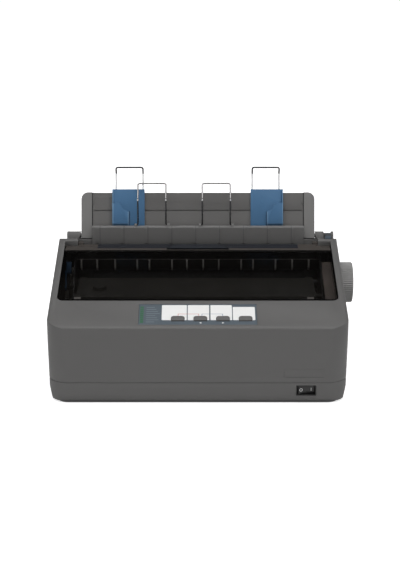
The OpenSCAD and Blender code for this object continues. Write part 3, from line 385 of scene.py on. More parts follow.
MOULDED_BLUE = (0.062, 0.158, 0.295)
knob_plastic = plastic("knob_plastic", (0.255, 0.252, 0.248), 0.5)
rib_plastic = plastic("rib_plastic", (0.085, 0.083, 0.082), 0.6)
dark_plastic = plastic("dark_plastic", (0.045, 0.044, 0.044), 0.5)
blue_plastic = plastic("blue_plastic", MOULDED_BLUE, 0.42, grain=0.02)
black_plastic = plastic("black_plastic", (0.012, 0.012, 0.012), 0.38, grain=0.015)
gear_plastic = plastic("gear_plastic", (0.72, 0.71, 0.66), 0.35, grain=0.01)
ribbon_plastic = plastic("ribbon_plastic", (0.092, 0.089, 0.082), 0.6, grain=0.06, grain_size=0.8)
shelf_plastic = plastic("shelf_plastic", (0.46, 0.39, 0.35), 0.55)
frame_paint = plastic("frame_paint", (0.030, 0.030, 0.032), 0.45, grain=0.05, grain_size=0.7)
rubber = plastic("rubber", (0.018, 0.018, 0.018), 0.75, grain=0.05, grain_size=0.9)
print("plain shades:", len(bpy.data.materials))

# %% [markdown]
# ## Greys of the case
# The case is one grey. Low on its front is a long shallow recess, only a third of a
# millimetre deep, and soft light hardly shades such a step. It could be made deeper than
# it is. Instead the step stays true, and two thin dark lines in the finish are painted
# shade in its corner.

# %% Case
CORNER_SHADE = (0.040, 0.040, 0.040)
case_plastic = plastic("case_plastic", (0.128, 0.126, 0.124))
front_x, front_z = case_plastic.case_x(), case_plastic.z
# painted shade: thin dark lines along the left and lower corners of the recess
upright_line = case_plastic.patch(front_x, front_z, 99.1, 99.7, 33.2, 40.5, 0.2)
foot_line = case_plastic.patch(front_x, front_z, 102, 145, 33.1, 33.6, 0.2)
on_front = case_plastic.spread(case_plastic.depth(), 5, 6, 1, 0)
recess_painted_shade = upright_line.high(foot_line) * on_front * 0.4
case_cloud = case_plastic.noise(38, detail=3)
case_shade = case_plastic.blend(case_cloud, (0.122, 0.120, 0.118), (0.134, 0.132, 0.130))
case_plastic.set(Base_Color=case_plastic.blend(recess_painted_shade, case_shade, CORNER_SHADE))
print("nodes in the case finish:", len(case_plastic.tree.nodes))

# %% [markdown]
# ## Sheet guide and exit panel
# The sheet guide has a wing at each end that stands a step forward and looks lighter. The
# exit panel below it has shallow upright ribs, and the top of its ledge is painted lighter,
# a painted highlight where the light from above falls on it. The steps and ribs are in the
# solids. The finish deepens their corners with painted shade, by distance from the step or
# rib, because at this size a shadow of half a millimetre is lost in a render.

# %% Sheet guide and exit panel
WING_START = 132.6
RIB_PITCH = 29.9
guide_plastic = plastic("guide_plastic", (0.145, 0.142, 0.139), 0.5)
from_wing = guide_plastic.case_x().size() - WING_START
wing = guide_plastic.spread(from_wing, 0, 0.6)
# painted shade along the step of each wing
step = guide_plastic.spread(from_wing.size(), 0.45, 0.75, 1, 0)
guide_shade = guide_plastic.blend(wing, (0.145, 0.142, 0.139), (0.205, 0.202, 0.199))
guide_plastic.set(Base_Color=guide_plastic.blend(step, guide_shade, (0.022, 0.022, 0.022)))
panel_plastic = plastic("panel_plastic", (0.126, 0.124, 0.122))
# painted shade in the grooves between the ribs
ribs = panel_plastic.spread((panel_plastic.case_x() + 2.8).wave(RIB_PITCH), 0.02, 0.06, 1, 0) * 0.45
# painted highlight: the top of the ledge is lighter
lit_ledge_top = panel_plastic.spread(panel_plastic.z, LEDGE - 0.5, LEDGE - 0.2)
panel_shade = panel_plastic.blend(lit_ledge_top, (0.126, 0.124, 0.122), (0.185, 0.183, 0.181))
panel_plastic.set(Base_Color=panel_plastic.blend(ribs, panel_shade, (0.060, 0.060, 0.060)))
print("wings beyond", WING_START, "mm, a rib every", RIB_PITCH, "mm")

# %% [markdown]
# ## Blue edge guides
# Each blue guide has a raised rim on its outer side, whose thin edge catches the light,
# and a flap at its foot with a bright edge and a painted shadow beside it, a dark line.
# Edges catch light in a wide view only when they are wide enough to fill a pixel, so the
# finish paints the light along them as painted highlights, over a width of one millimetre.

# %% Blue of the edge guides
RIM_X = 106.7
FLAP_EDGE_X = 87.4
FLAP_LINE_X = 86.2
guide_blue = plastic("guide_blue", MOULDED_BLUE, 0.42, grain=0.02)
sideways = guide_blue.case_x().size()
# painted highlights along the rim and along the edge of the flap
rim = guide_blue.spread((sideways - RIM_X).size(), 0.7, 1.1, 1, 0)
on_flap = guide_blue.spread(guide_blue.z, LEDGE + 16.2, LEDGE + 17.0, 1, 0)
flap_edge = guide_blue.spread((sideways - FLAP_EDGE_X).size(), 0.4, 0.8, 1, 0) * on_flap
# painted shadow: a dark line beside the flap
flap_shadow = guide_blue.spread((sideways - FLAP_LINE_X).size(), 0.3, 0.8, 1, 0) * on_flap
blue_shade = guide_blue.blend(rim.high(flap_edge), MOULDED_BLUE, (0.130, 0.250, 0.400))
guide_blue.set(Base_Color=guide_blue.blend(flap_shadow, blue_shade, (0.030, 0.080, 0.160)))
print("rim at", RIM_X, "and flap at", FLAP_EDGE_X, "mm from the middle")

# %% [markdown]
# ## Ribbed guide and release lever
# Two small parts are in two colours. The guide under the cover is dark, and its teeth
# are pale in front. The release lever is dark, and its tip is blue with a greyer
# end. One finish that changes by place does this without cutting the part in two.

# %% Parts in two colours
rib_guide_plastic = Finish("rib_guide_plastic", Roughness=0.5)
teeth = rib_guide_plastic.spread(rib_guide_plastic.depth(), 169.9, 170.2, 1, 0)
teeth_shade = rib_guide_plastic.blend(teeth, (0.035, 0.033, 0.031), (0.62, 0.60, 0.56))
rib_guide_plastic.set(Base_Color=teeth_shade,
                      Normal=rib_guide_plastic.relief(rib_guide_plastic.noise(0.5) * 0.02))
lever_plastic = Finish("lever_plastic", Roughness=0.45)
tip = lever_plastic.spread(lever_plastic.z, 131.0, 131.6)
tip_top = lever_plastic.spread(lever_plastic.z, 136.6, 139.0)
tip_shade = lever_plastic.blend(tip_top, (0.185, 0.240, 0.300), (0.095, 0.103, 0.112))
lever_plastic.set(Base_Color=lever_plastic.blend(tip, (0.045, 0.044, 0.044), tip_shade),
                  Normal=lever_plastic.relief(lever_plastic.noise(0.45) * 0.02))
print("plastics:", len(bpy.data.materials))

# %% [markdown]
# ## Metals
# Sheet steel is zinc plated, with a blotchy spangle. Shafts are ground, with rings of
# fine scratches, which is the same noise pressed flat along the shaft. One recipe with a
# size and a stretch makes both, and brass and the dull platen shaft too.


# %% Metals
def metal(name, colour, roughness, scratches=0.06, size=0.6, stretch=(1, 1, 1)):
    """Bare metal whose gloss changes with fine scratches or spangle."""
    made = Finish(name, Metallic=1.0)
    marks = made.noise(size, detail=3, stretch=stretch)
    shade = made.blend(made.spread(marks, 0.3, 0.7), [c * 0.9 for c in colour], colour)
    gloss = made.spread(marks, 0.3, 0.7, roughness - scratches, roughness + scratches)
    made.set(Base_Color=shade, Roughness=gloss, Normal=made.relief(marks * 0.01))
    return made


sheet_steel = metal("sheet_steel", (0.56, 0.57, 0.58), 0.42, 0.12, size=9)
shaft_steel = metal("shaft_steel", (0.62, 0.62, 0.63), 0.22, 0.06, size=0.5, stretch=(12, 1, 1))
dull_steel = metal("dull_steel", (0.20, 0.20, 0.205), 0.4, 0.08, size=0.8)
brass = metal("brass", (0.66, 0.48, 0.22), 0.3, 0.08, size=1.2)
print("metals: sheet, shaft, dull steel and brass")

# %% [markdown]
# ## Plated wires
# The four wires are plated steel, one pixel or two across in the picture. Such a thin
# round mirror shows the whole room at once. In the photograph the legs of the tall wires
# are pale and their bent tops dark, and the others are dark below their kink, white at
# it and grey above. Mirrors alone don't come out so, so the height sets painted
# reflections: pale legs on the tall wires, and on the others a dark part, a painted glint
# at the kink and grey above.

# %% Wire finishes
WIRE_DARK = (0.055, 0.055, 0.057)
TALL_KINK = 59
EXIT_KINK = 34.6
tall_wire = Finish("tall_wire", Roughness=0.3)
patchy = tall_wire.noise(1.5) * 0.4
# painted reflection: below the bend the legs are pale and not metallic, above it dark
bent_part = tall_wire.spread(tall_wire.z + patchy, LEDGE + TALL_KINK - 0.4, LEDGE + TALL_KINK + 0.4)
tall_wire.set(Base_Color=tall_wire.blend(bent_part, (0.90, 0.90, 0.90), WIRE_DARK), Metallic=bent_part)
exit_wire = Finish("exit_wire", Metallic=1.0)
rise = exit_wire.z - (LEDGE + EXIT_KINK)
scratch = exit_wire.noise(1.5, detail=3)
# painted reflection: dark below the kink and grey above it
wire_shade = exit_wire.blend(exit_wire.spread(rise, -1.4, -0.8), WIRE_DARK, (0.30, 0.29, 0.29))
# painted glint: a white band at the kink
kink = exit_wire.spread(rise.size(), 0.8, 1.4, 1, 0)
exit_wire.set(Base_Color=exit_wire.blend(kink, wire_shade, (0.98, 0.98, 0.98)),
              Roughness=exit_wire.spread(scratch, 0.3, 0.7, 0.18, 0.30))
print("tall wires turn dark", TALL_KINK, "mm above the ledge")

# %% [markdown]
# ## Circuit board
# A board is green lacquer over copper tracks. The tracks are drawn by two zigzag waves,
# one each way, which a slow noise bends, so that they wander as real ones do. A board is
# seen only through the openings at the back, so a drawn pattern is enough.

# %% Circuit board
TRACK_PITCH = 5.0
TRACK_WIDTH = 0.45
board = Finish("circuit_board", Roughness=0.35, Coat_Weight=0.4, Coat_Roughness=0.15)
wander = board.noise(16, detail=1)
across = (board.x + wander * 14).wave(TRACK_PITCH)
along = (board.y + wander * 14).wave(TRACK_PITCH)
tracks = board.spread(across.low(along), TRACK_WIDTH, TRACK_WIDTH + 0.12, 1, 0)
green = board.blend(board.noise(1.2), (0.012, 0.085, 0.035), (0.016, 0.105, 0.045))
board.set(Base_Color=board.blend(tracks, green, (0.05, 0.22, 0.09)), Normal=board.relief(tracks * 0.05))
print("tracks every", TRACK_PITCH, "mm")

# %% [markdown]
# ## Smoked cover
# The cover is a see-through plastic, smoked nearly black. Its slope lets a little of the
# ribbon cartridge show in the near half, and its far half is darker, a painted shade of
# the dark inside. Its deck behind the ridge is closer to solid and lighter at both ends,
# with painted shade in the middle over the opening below, and a trapezoid grip for the
# fingers. A black line of painted shade runs along the ridge, the border and the grip, and
# two pale marks stand near the front. Glass that bends light would be the other way. It is
# slow and noisy here, so the Alpha of one glossy shader is used.

# %% Smoked cover
BORDER_X = 164.0
GRIP_DEPTH = 176
GRIP_HALF = 38
smoke = Finish("smoke_cover", Specular_IOR_Level=0.02)
dust = smoke.noise(0.7, detail=2)
haze = smoke.noise(45, detail=2)
deep = smoke.depth()
wide = smoke.case_x().size()
deck = smoke.spread(deep, RIDGE_DEPTH + 0.8, RIDGE_DEPTH + 1.4)
band = smoke.spread((deep - RIDGE_DEPTH + 0.4).size(), 1.0, 1.5, 1, 0)
# painted shade: the deck is dark in the middle, over the opening below it
deck_gap_shade = smoke.spread(deep, 179.5, 180.5) * smoke.spread(wide, 124, 125, 1, 0)
border = smoke.spread(deep, 60.4, 61.0, 1, 0).high(smoke.spread(wide, BORDER_X, BORDER_X + 0.4))
# painted shade: the far half of the slope is darker, for the dark inside behind it
far_half_shade = smoke.spread(deep, 107.5, 109.5)

# %% Grip and marks of the cover
GRIP_SLANT = 0.36
slant = wide + (deep - GRIP_DEPTH) * GRIP_SLANT - GRIP_HALF
on_grip = smoke.spread(slant, -0.3, 0.3, 1, 0) * smoke.spread(deep, GRIP_DEPTH - 0.4, GRIP_DEPTH + 0.2)
grip_line = smoke.spread(slant.size(), 0.7, 1.1, 1, 0) * smoke.spread(deep, 175.0, 175.6)
grip_foot = smoke.spread((deep - 175.6).size(), 0.6, 1.0, 1, 0) * smoke.spread(slant, 0, 0.5, 1, 0)
mark_left = smoke.patch(smoke.case_x(), deep, -145.4, -137.5, 61.2, 65.4, 0.3)
mark_right = smoke.patch(smoke.case_x(), deep, 128.5, 136.4, 61.2, 65.4, 0.3)
marks = mark_left.high(mark_right)
# painted shade: black lines along the ridge, the border and the edge of the grip
black = band.high(border).high(deck * grip_line.high(grip_foot))

# %% Shade of the cover
slope_shade = smoke.blend(haze, (0.005, 0.0045, 0.004), (0.008, 0.007, 0.006))
slope_shade = smoke.blend(far_half_shade, slope_shade, (0.0025, 0.0022, 0.002))
deck_shade = smoke.blend(deck_gap_shade, (0.068, 0.061, 0.056), (0.026, 0.028, 0.034))
deck_shade = smoke.blend(on_grip, deck_shade, (0.030, 0.033, 0.040))
shade = smoke.blend(black, smoke.blend(deck, slope_shade, deck_shade), (0.003, 0.003, 0.003))
clear = smoke.spread(haze, 0.3, 0.7, 0.42, 0.48) + deck * 0.45
smoke.set(Base_Color=smoke.blend(marks, shade, (0.075, 0.070, 0.066)),
          Roughness=smoke.spread(haze, 0.3, 0.7, 0.10, 0.18),
          Alpha=clear.high(black.high(marks) * 0.97),
          Normal=smoke.relief(dust * 0.004))
print("cover: ridge at", RIDGE_DEPTH, "mm, grip", 2 * GRIP_HALF, "mm wide")

# %% [markdown]
# ## The control panel
# The panel is a slate blue film with four white label fields, a strip of green lamps on
# the left, two thin rules that tie fields to buttons, and two small arrows. It could be a
# picture laid on the panel. A finish that paints by place stays sharp at any size:
# `patch` is 1 inside a rectangle, and each patch mixes one more colour in.

# %% Panel film
WHITE = (0.93, 0.93, 0.92)
LABELS = [(-41.6, -12.7, 48.6), (-11.6, 13.2, 48.6), (14.7, 39.6, 48.6), (40.6, 66.2, 44.6)]
LABEL_NEAR = 17.2
LAMPS = [11.8 + 4.3 * i for i in range(8)]
film = Finish("panel_film", Roughness=0.32, Specular_IOR_Level=0.45)
px, py = film.case_x(), film.depth()
paint = film.blend(film.noise(20), (0.098, 0.122, 0.145), (0.112, 0.138, 0.162))
for left, right, far in LABELS:
    paint = film.blend(film.patch(px, py, left, right, LABEL_NEAR, far, 1.2), paint, WHITE)
for i, near in enumerate(LAMPS):
    paint = film.blend(film.patch(px, py, -66.6, -62.6, near, near + 3.4, 0.5), paint, (0.050, 0.150, 0.078))
    paint = film.blend(film.patch(px, py, -59.5, -50 + (i * 5) % 7, near + 1.4, near + 2.1, 0.2) * 0.5,
                       paint, (0.42, 0.46, 0.48))
print("panel fields:", len(LABELS), "lamps:", len(LAMPS))

# %% Rules and arrows of the panel
RED, BLUE = (0.62, 0.16, 0.13), (0.16, 0.24, 0.36)
for left, right, ink in [(-23, 1.5, RED), (4.5, 29, BLUE)]:
    rule = film.patch(px, py, left, right, 29.6, 30.3, 0.2)
    left_end = film.patch(px, py, left, left + 0.7, 25, 30.3, 0.2)
    right_end = film.patch(px, py, right - 0.7, right, 25, 30.3, 0.2)
    paint = film.blend(rule.high(left_end.high(right_end)) * 0.8, paint, ink)
for point, way in [(1.2, 1), (30.8, -1)]:
    along = (px - point) * way
    arrow = film.spread(along * 0.55 - (py - 11.6).size(), 0, 0.15) * film.spread(along, 2.8, 3.0, 1, 0)
    paint = film.blend(arrow * 0.85, paint, WHITE)
film.set(Base_Color=paint, Normal=film.relief(film.noise(0.5) * 0.01))
print("finishes:", len(bpy.data.materials))

# %% [markdown]
# ## Finishes for the solids that stay
# Most of what is inside the printer already has its true shape: gears, shafts, frames,
# rollers and motors. Modelling them again would add nothing, so each gets the finish of
# what it is made of, and nothing moves. The solids that are modelled again below get one
# too, because they stay in the frame as hidden stand-ins.

# %% Finish of each solid
finish_of = {
    case_plastic: ["upper_case", "lower_case"],
    guide_plastic: ["sheet_guide"],
    panel_plastic: ["exit_panel"],
    rib_plastic: ["tractor_left", "tractor_right", "tractor_cover_left", "tractor_cover_right"],
    dark_plastic: ["paper_pan", "carriage"],
    lever_plastic: ["release_lever"],
    ribbon_plastic: ["ribbon_knob", "ribbon_cartridge"],
    knob_plastic: ["platen_knob"],
    guide_blue: ["edge_guide_left", "edge_guide_right"],
    blue_plastic: ["lock_lever_left", "lock_lever_right", "thickness_lever"],
    black_plastic: ["switch_housing", "power_rocker", "print_head", "mains_inlet", "interface_ports",
                    "button_1", "button_2", "button_3", "button_4"],
    film: ["control_panel"],
    rib_guide_plastic: ["rib_guide"],
    gear_plastic: ["platen_gear", "reduction_gear", "transfer_gear", "sprocket_left", "sprocket_right",
                   "idler_pulley"],
    rubber: ["rubber_feet", "platen", "exit_rollers", "pressure_rollers", "timing_belt"],
    frame_paint: ["left_side_frame", "right_side_frame"],
    sheet_steel: ["base_frame", "feed_motor", "carriage_motor"],
    dull_steel: ["platen_shaft"],
    shaft_steel: ["tractor_shaft", "tractor_rod", "carriage_rail", "case_screws", "drive_pulley"],
    tall_wire: ["guide_wire_left", "guide_wire_right"],
    exit_wire: ["exit_wire_left", "exit_wire_right"],
    brass: ["motor_pinion"],
    board: ["main_board", "power_supply"],
    smoke: ["printer_cover"],
}
for finish, members in finish_of.items():
    for member in members:
        nodes[member].data.materials.clear()
        nodes[member].data.materials.append(finish.material)
dressed = sum(len(members) for members in finish_of.values())
print("finished solids:", dressed, "of", len(nodes))

# %% [markdown]
# ## Working by hand, in code
# Every new piece below is made as one would make it with a mouse: add a simple shape,
# go into edit mode, select some faces or edges, and extrude, inset or bevel them. In
# code, the selecting is done by place or by direction. Where a solid of the frame
# already has a complicated true shape, such as the case with its openings, the new
# piece starts from a merged copy of it, and only its edges and details are worked on.

# %% Selecting and editing
def alone(piece):
    """Makes one object the only selected one."""
    bpy.ops.object.select_all(action="DESELECT")
    piece.select_set(True)
    bpy.context.view_layer.objects.active = piece


@contextmanager
def editing(piece):
    """Edit mode on one object, with nothing selected."""
    alone(piece)
    bpy.ops.object.mode_set(mode="EDIT")
    bpy.ops.mesh.select_mode(type="VERT")
    bpy.ops.mesh.select_all(action="DESELECT")
    yield
    bpy.ops.object.mode_set(mode="OBJECT")


def pick(piece, kind, test):
    """Selects the vertices, edges or faces that pass a test, and says how many."""
    bpy.ops.mesh.select_mode(type=kind)
    bpy.ops.mesh.select_all(action="DESELECT")
    mesh = bmesh.from_edit_mesh(piece.data)
    parts = {"VERT": mesh.verts, "EDGE": mesh.edges, "FACE": mesh.faces}[kind]
    chosen = [part for part in parts if test(part)]
    for part in chosen:
        part.select_set(True)
    bmesh.update_edit_mesh(piece.data)
    return len(chosen)


def middle(edge):
    """The middle of an edge."""
    return (edge.verts[0].co + edge.verts[1].co) / 2


def sharp(edge, degrees=30):
    """Whether two faces meet at an edge at more than an angle."""
    return edge.is_manifold and edge.calc_face_angle(0) > math.radians(degrees)


def mm(point):
    """A point of a mesh in millimetres: from the middle of the case, its front, and the table."""
    return point.x / MM + CASE_OFFSET, point.y / MM + HALF_DEPTH, point.z / MM


def block(name, x, depth, height):
    """A block between three pairs of places, to be worked on further."""
    bpy.ops.object.select_all(action="DESELECT")
    bpy.ops.mesh.primitive_cube_add(size=1)
    piece = bpy.context.object
    piece.name = name
    piece.data.name = name
    low, high = at(x[0], depth[0], height[0]), at(x[1], depth[1], height[1])
    piece.location = (low + high) / 2
    piece.scale = high - low
    bpy.ops.object.transform_apply(location=True, rotation=True, scale=True)
    return piece


print("editing helpers ready")

# %% [markdown]
# ## Copies, soft edges and the last step
# A solid of the frame is made of loose triangles. A copy is merged into one skin first,
# and its flat faces are joined, so that a bevel meets clean edges. A bevel modifier could
# round all edges at once. The bevel operator works on chosen edges only, so the foot of
# the case can be rounder than its seam. The last step gives the finish and the body.

# %% Copies, soft edges and the last step
def copy_solid(node, name):
    """A merged copy of a solid of the frame, free to be worked on."""
    alone(nodes[node])
    bpy.ops.object.duplicate()
    piece = bpy.context.object
    piece.name = name
    piece.data.name = name
    piece.parent = None
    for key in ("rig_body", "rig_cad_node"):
        del piece[key]
    with editing(piece):
        bpy.ops.mesh.select_all(action="SELECT")
        bpy.ops.mesh.remove_doubles(threshold=0.002 * MM)
        bpy.ops.mesh.customdata_custom_splitnormals_clear()
        bpy.ops.mesh.dissolve_limited(angle_limit=math.radians(0.6))
    return piece


def soften(piece, width, steps=2, test=sharp):
    """Rounds the edges that pass a test."""
    with editing(piece):
        found = pick(piece, "EDGE", test)
        if found:
            bpy.ops.mesh.bevel(offset=width * MM, segments=steps, affect="EDGES", clamp_overlap=True)
    return piece


def dress(piece, finish, *solids, beside=None, smooth=35):
    """The last step of a new piece: shading, finish, and the solids that it stands for.

    A piece that stands for none names the solid beside it, whose body it rides on.
    """
    alone(piece)
    bpy.ops.object.transform_apply(location=True, rotation=True, scale=True)
    bpy.ops.object.shade_smooth_by_angle(angle=math.radians(smooth))
    piece.data.materials.clear()
    piece.data.materials.append(finish.material)
    carrier = solids[0] if solids else beside
    body = nodes[carrier]["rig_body"]
    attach(piece, body)
    if solids:
        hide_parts(*solids)
    print(f"{piece.name}: {len(piece.data.polygons)} faces on {body}")
    return piece


# %% [markdown]
# ## The case
# The two halves of the case are moulded shells that meet at a seam near the foot. They
# keep their true shape from the frame, with all its openings. A mould has no knife edges,
# so every sharp edge is rounded a little, and the rim along the seam a little more, which
# draws the dark line that runs round the printer. The ears beside the sheet guide reach
# in to its wings, and a long shallow recess is cut low on the front.

# %% Places on the case
SEAM = 26.4
RECESS = (99.4, 146.1, 33.3, 43.4)
RECESS_DEEP = 0.35
EAR_X, EAR_DEPTH, EAR_HEIGHT, EAR_RADIUS = 150, 212.3, 135.6, 5.7
EAR_REACH = 2.9
SCREW_X, SCREW_DEPTHS = 160, (37, 251)
SOLE_TOP = 2.1


def on_seam(edge):
    """A sharp edge of the outer wall that lies on the seam."""
    return sharp(edge) and all(abs(v.co.z - SEAM * MM) < 0.01 * MM for v in edge.verts)


def cut_out(piece, cutter):
    """Takes the shape of the cutter out of a piece."""
    alone(piece)
    cut = piece.modifiers.new("cut", "BOOLEAN")
    cut.object = cutter
    cut.solver = "EXACT"
    bpy.ops.object.modifier_apply(modifier=cut.name)
    bpy.data.objects.remove(cutter)


def on_ear(vertex):
    """A corner of the inner side of an ear, next to a wing of the sheet guide."""
    x, depth, height = mm(vertex.co)
    return abs(abs(x) - EAR_X) < 0.3 and math.hypot(depth - EAR_DEPTH, height - EAR_HEIGHT) < EAR_RADIUS


def on_sole(edge):
    """An outer edge of the underside, but not the rim of a screw hole."""
    x, depth, height = mm(middle(edge))
    hole = min(math.hypot(abs(x) - SCREW_X, depth - screw) for screw in SCREW_DEPTHS)
    return sharp(edge) and height < SOLE_TOP and hole > 4.5


print("seam", SEAM, "mm above the table")

# %% Upper case
top_case = copy_solid("upper_case", "top_case")
with editing(top_case):
    for side in (-1, 1):
        pick(top_case, "VERT", lambda vertex: on_ear(vertex) and mm(vertex.co)[0] * side > 0)
        bpy.ops.transform.translate(value=(-side * EAR_REACH * MM, 0, 0))
cut_out(top_case, block("recess_cutter", RECESS[:2], (-10, RECESS_DEEP), RECESS[2:]))
soften(top_case, 0.8, 2, on_seam)
soften(top_case, 0.35, 2, lambda edge: sharp(edge, 40))
dress(top_case, case_plastic, "upper_case")

# %% Lower case
FRONT_FOOT_ROUND = 8.5
FOOT_ROUND = 4.0
bottom_case = copy_solid("lower_case", "bottom_case")
soften(bottom_case, FRONT_FOOT_ROUND, 6, lambda edge: on_sole(edge) and mm(middle(edge))[1] < 26)
soften(bottom_case, FOOT_ROUND, 4, lambda edge: on_sole(edge) and mm(middle(edge))[1] > 27)
soften(bottom_case, 0.8, 2, on_seam)
soften(bottom_case, 0.35, 2, lambda edge: sharp(edge, 40))
dress(bottom_case, case_plastic, "lower_case")

# %% [markdown]
# ## Soft copies
# Many parts only need rounded edges to look moulded or pressed: an edge that is rounded
# catches a thin line of light, and a sharp one doesn't. Each solid is copied, merged and
# rounded by its own width in millimetres. One table and one loop do them all.

# %% Moulded pieces with soft edges
rounded = {
    "exit_panel": ("ribbed_panel", panel_plastic, 0.3),
    "sheet_guide": ("back_guide", guide_plastic, 0.5),
    "switch_housing": ("switch_frame", black_plastic, 0.3),
    "release_lever": ("release_arm", lever_plastic, 0.4),
    "thickness_lever": ("thickness_arm", blue_plastic, 0.4),
    "rib_guide": ("sheet_ribs", rib_guide_plastic, 0.25),
    "mains_inlet": ("inlet", black_plastic, 0.3),
    "interface_ports": ("sockets", black_plastic, 0.25),
    "rubber_feet": ("feet", rubber, 0.6),
    "paper_pan": ("pan", dark_plastic, 0.4),
    "tractor_left": ("tractor_body_left", rib_plastic, 0.4),
    "tractor_right": ("tractor_body_right", rib_plastic, 0.4),
    "tractor_cover_left": ("tractor_lid_left", rib_plastic, 0.3),
    "tractor_cover_right": ("tractor_lid_right", rib_plastic, 0.3),
    "lock_lever_left": ("lock_left", blue_plastic, 0.3),
    "lock_lever_right": ("lock_right", blue_plastic, 0.3),
    "carriage": ("carriage_body", dark_plastic, 0.4),
    "print_head": ("head", black_plastic, 0.4),
    "feed_motor": ("motor_can", sheet_steel, 0.5),
    "left_side_frame": ("frame_left", frame_paint, 0.3),
    "right_side_frame": ("frame_right", frame_paint, 0.3),
    "base_frame": ("frame_base", sheet_steel, 0.3),
}
for node, (name, finish, width) in rounded.items():
    piece = copy_solid(node, name)
    soften(piece, width)
    dress(piece, finish, node)

# %% [markdown]
# ## The cover
# The lid is one see-through moulding. A fine groove runs along the border of its slope,
# so that its outline shows twice, as in the photograph. Two insets cut the groove, one
# down and one up again, which follows the outline by itself. A cutter would need a frame
# of its own.

# %% Cover
BORDER = 3.4
GROOVE = 0.7
GROOVE_DEEP = 0.5
cover = copy_solid("printer_cover", "cover")
with editing(cover):
    pick(cover, "FACE", lambda face: face.normal.z > 0.9 and face.normal.y < -0.1 and face.calc_area() > 0.02)
    bpy.ops.mesh.inset(thickness=BORDER * MM)
    bpy.ops.mesh.inset(thickness=GROOVE * MM, depth=-GROOVE_DEEP * MM)
    bpy.ops.mesh.inset(thickness=GROOVE * MM, depth=GROOVE_DEEP * MM)
soften(cover, 0.4)
dress(cover, smoke, "printer_cover")

# %% [markdown]
# ## Buttons
# Each button has a straight front edge, but its two rear corners are well rounded. A
# round button could start from a cylinder. Here the true solid is copied, two of its
# upright edges get a wide bevel, and then the rim of its top a narrow one.

# %% Buttons
REAR_ROUND = 3.2
RIM_ROUND = 0.4
for number, name in enumerate(["button_a", "button_b", "button_c", "button_d"], start=1):
    node = f"button_{number}"
    button = copy_solid(node, name)
    low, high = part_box(node)
    centre = (low + high) / 2

    def rear_corner(edge):
        start, end = (v.co for v in edge.verts)
        upright = abs(end.z - start.z) > 0.9 * edge.calc_length()
        outer = abs(middle(edge).x - centre.x) > 5 * MM
        return sharp(edge) and upright and outer and middle(edge).y > centre.y

    soften(button, REAR_ROUND, 5, rear_corner)
    soften(button, RIM_ROUND, 2, lambda edge: sharp(edge, 50) and middle(edge).z > low.z + 4 * MM)
    dress(button, case_plastic, node)

# %% [markdown]
# ## Edge guides
# On the outer side of each blue guide a thin wall stands out from the face, which stops
# the edge of the sheet. It is as deep as the flap at its foot and narrows towards the
# top. It starts as a block of eight corners, and each corner goes to its place on the
# leaning guide. A tapered box is quicker to place by its corners than by turning it.

# %% Edge guides
WALL_FOOT, WALL_TOP = 26.5, 44.8
WALL_THICK = 1.3
WALL_BACK = 2.0
WALL_OUT_FOOT, WALL_OUT_TOP = 5.9, 3.6
for name, node, x, outer in [("blue_guide_left", "edge_guide_left", -107.5, -1),
                             ("blue_guide_right", "edge_guide_right", 106.7, 1)]:
    guide = copy_solid(node, name)
    soften(guide, 0.35, 2)
    wall = block(name + "_wall", (0, 1), (0, 1), (0, 1))
    with editing(wall):
        mesh = bmesh.from_edit_mesh(wall.data)
        for vertex in mesh.verts:
            column, row, level = (round(c) for c in mm(vertex.co))
            up = WALL_TOP if level else WALL_FOOT
            out = WALL_BACK if row else (WALL_OUT_TOP if level else WALL_OUT_FOOT)
            vertex.co = on_guide(x - outer * WALL_THICK * column, up, out)
        bmesh.update_edit_mesh(wall.data)
        bpy.ops.mesh.select_all(action="SELECT")
        bpy.ops.mesh.normals_make_consistent(inside=False)
    soften(wall, 0.25, 2)
    alone(guide)
    wall.select_set(True)
    bpy.ops.object.join()
    dress(guide, guide_blue, node)

# %% [markdown]
# ## Platen knob
# The knob turns the paper by hand, so its rim has sixty small ribs and its end is dished.
# It could be cut rib by rib. Instead it starts as a cylinder with two corners for each
# rib, and every second corner is pulled in. Its ends are drawn out and tapered in steps,
# and a bore takes the shaft.

# %% Round pieces on the axis of the knob
KNOB_RIBS = 60
RIB_DEEP = 0.75
BORE_RADIUS = 4.02
knob_low, knob_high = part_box("platen_knob")
knob_axis = Vector((0, (knob_low[1] + knob_high[1]) / 2, (knob_low[2] + knob_high[2]) / 2))
knob_radius = (knob_high[1] - knob_low[1]) / 2
knob_inside = at(174.6, 0, 0).x
knob_end = knob_high[0]


def turned(name, radius, start, end, sides):
    """A cylinder round the axis of the knob."""
    bpy.ops.object.select_all(action="DESELECT")
    place = knob_axis + Vector(((start + end) / 2, 0, 0))
    bpy.ops.mesh.primitive_cylinder_add(vertices=sides, radius=radius, depth=end - start,
                                        location=place, rotation=(0, math.pi / 2, 0))
    piece = bpy.context.object
    piece.name = name
    piece.data.name = name
    bpy.ops.object.transform_apply(location=True, rotation=True, scale=True)
    return piece


def on_groove(vertex):
    """Every second corner of the rim lies at the bottom of a groove between two ribs."""
    turn = math.atan2(vertex.co.z - knob_axis.z, vertex.co.y - knob_axis.y) / math.tau
    return round(turn * 2 * KNOB_RIBS) % 2 == 1


print("knob radius:", round(knob_radius / MM, 1), "mm")

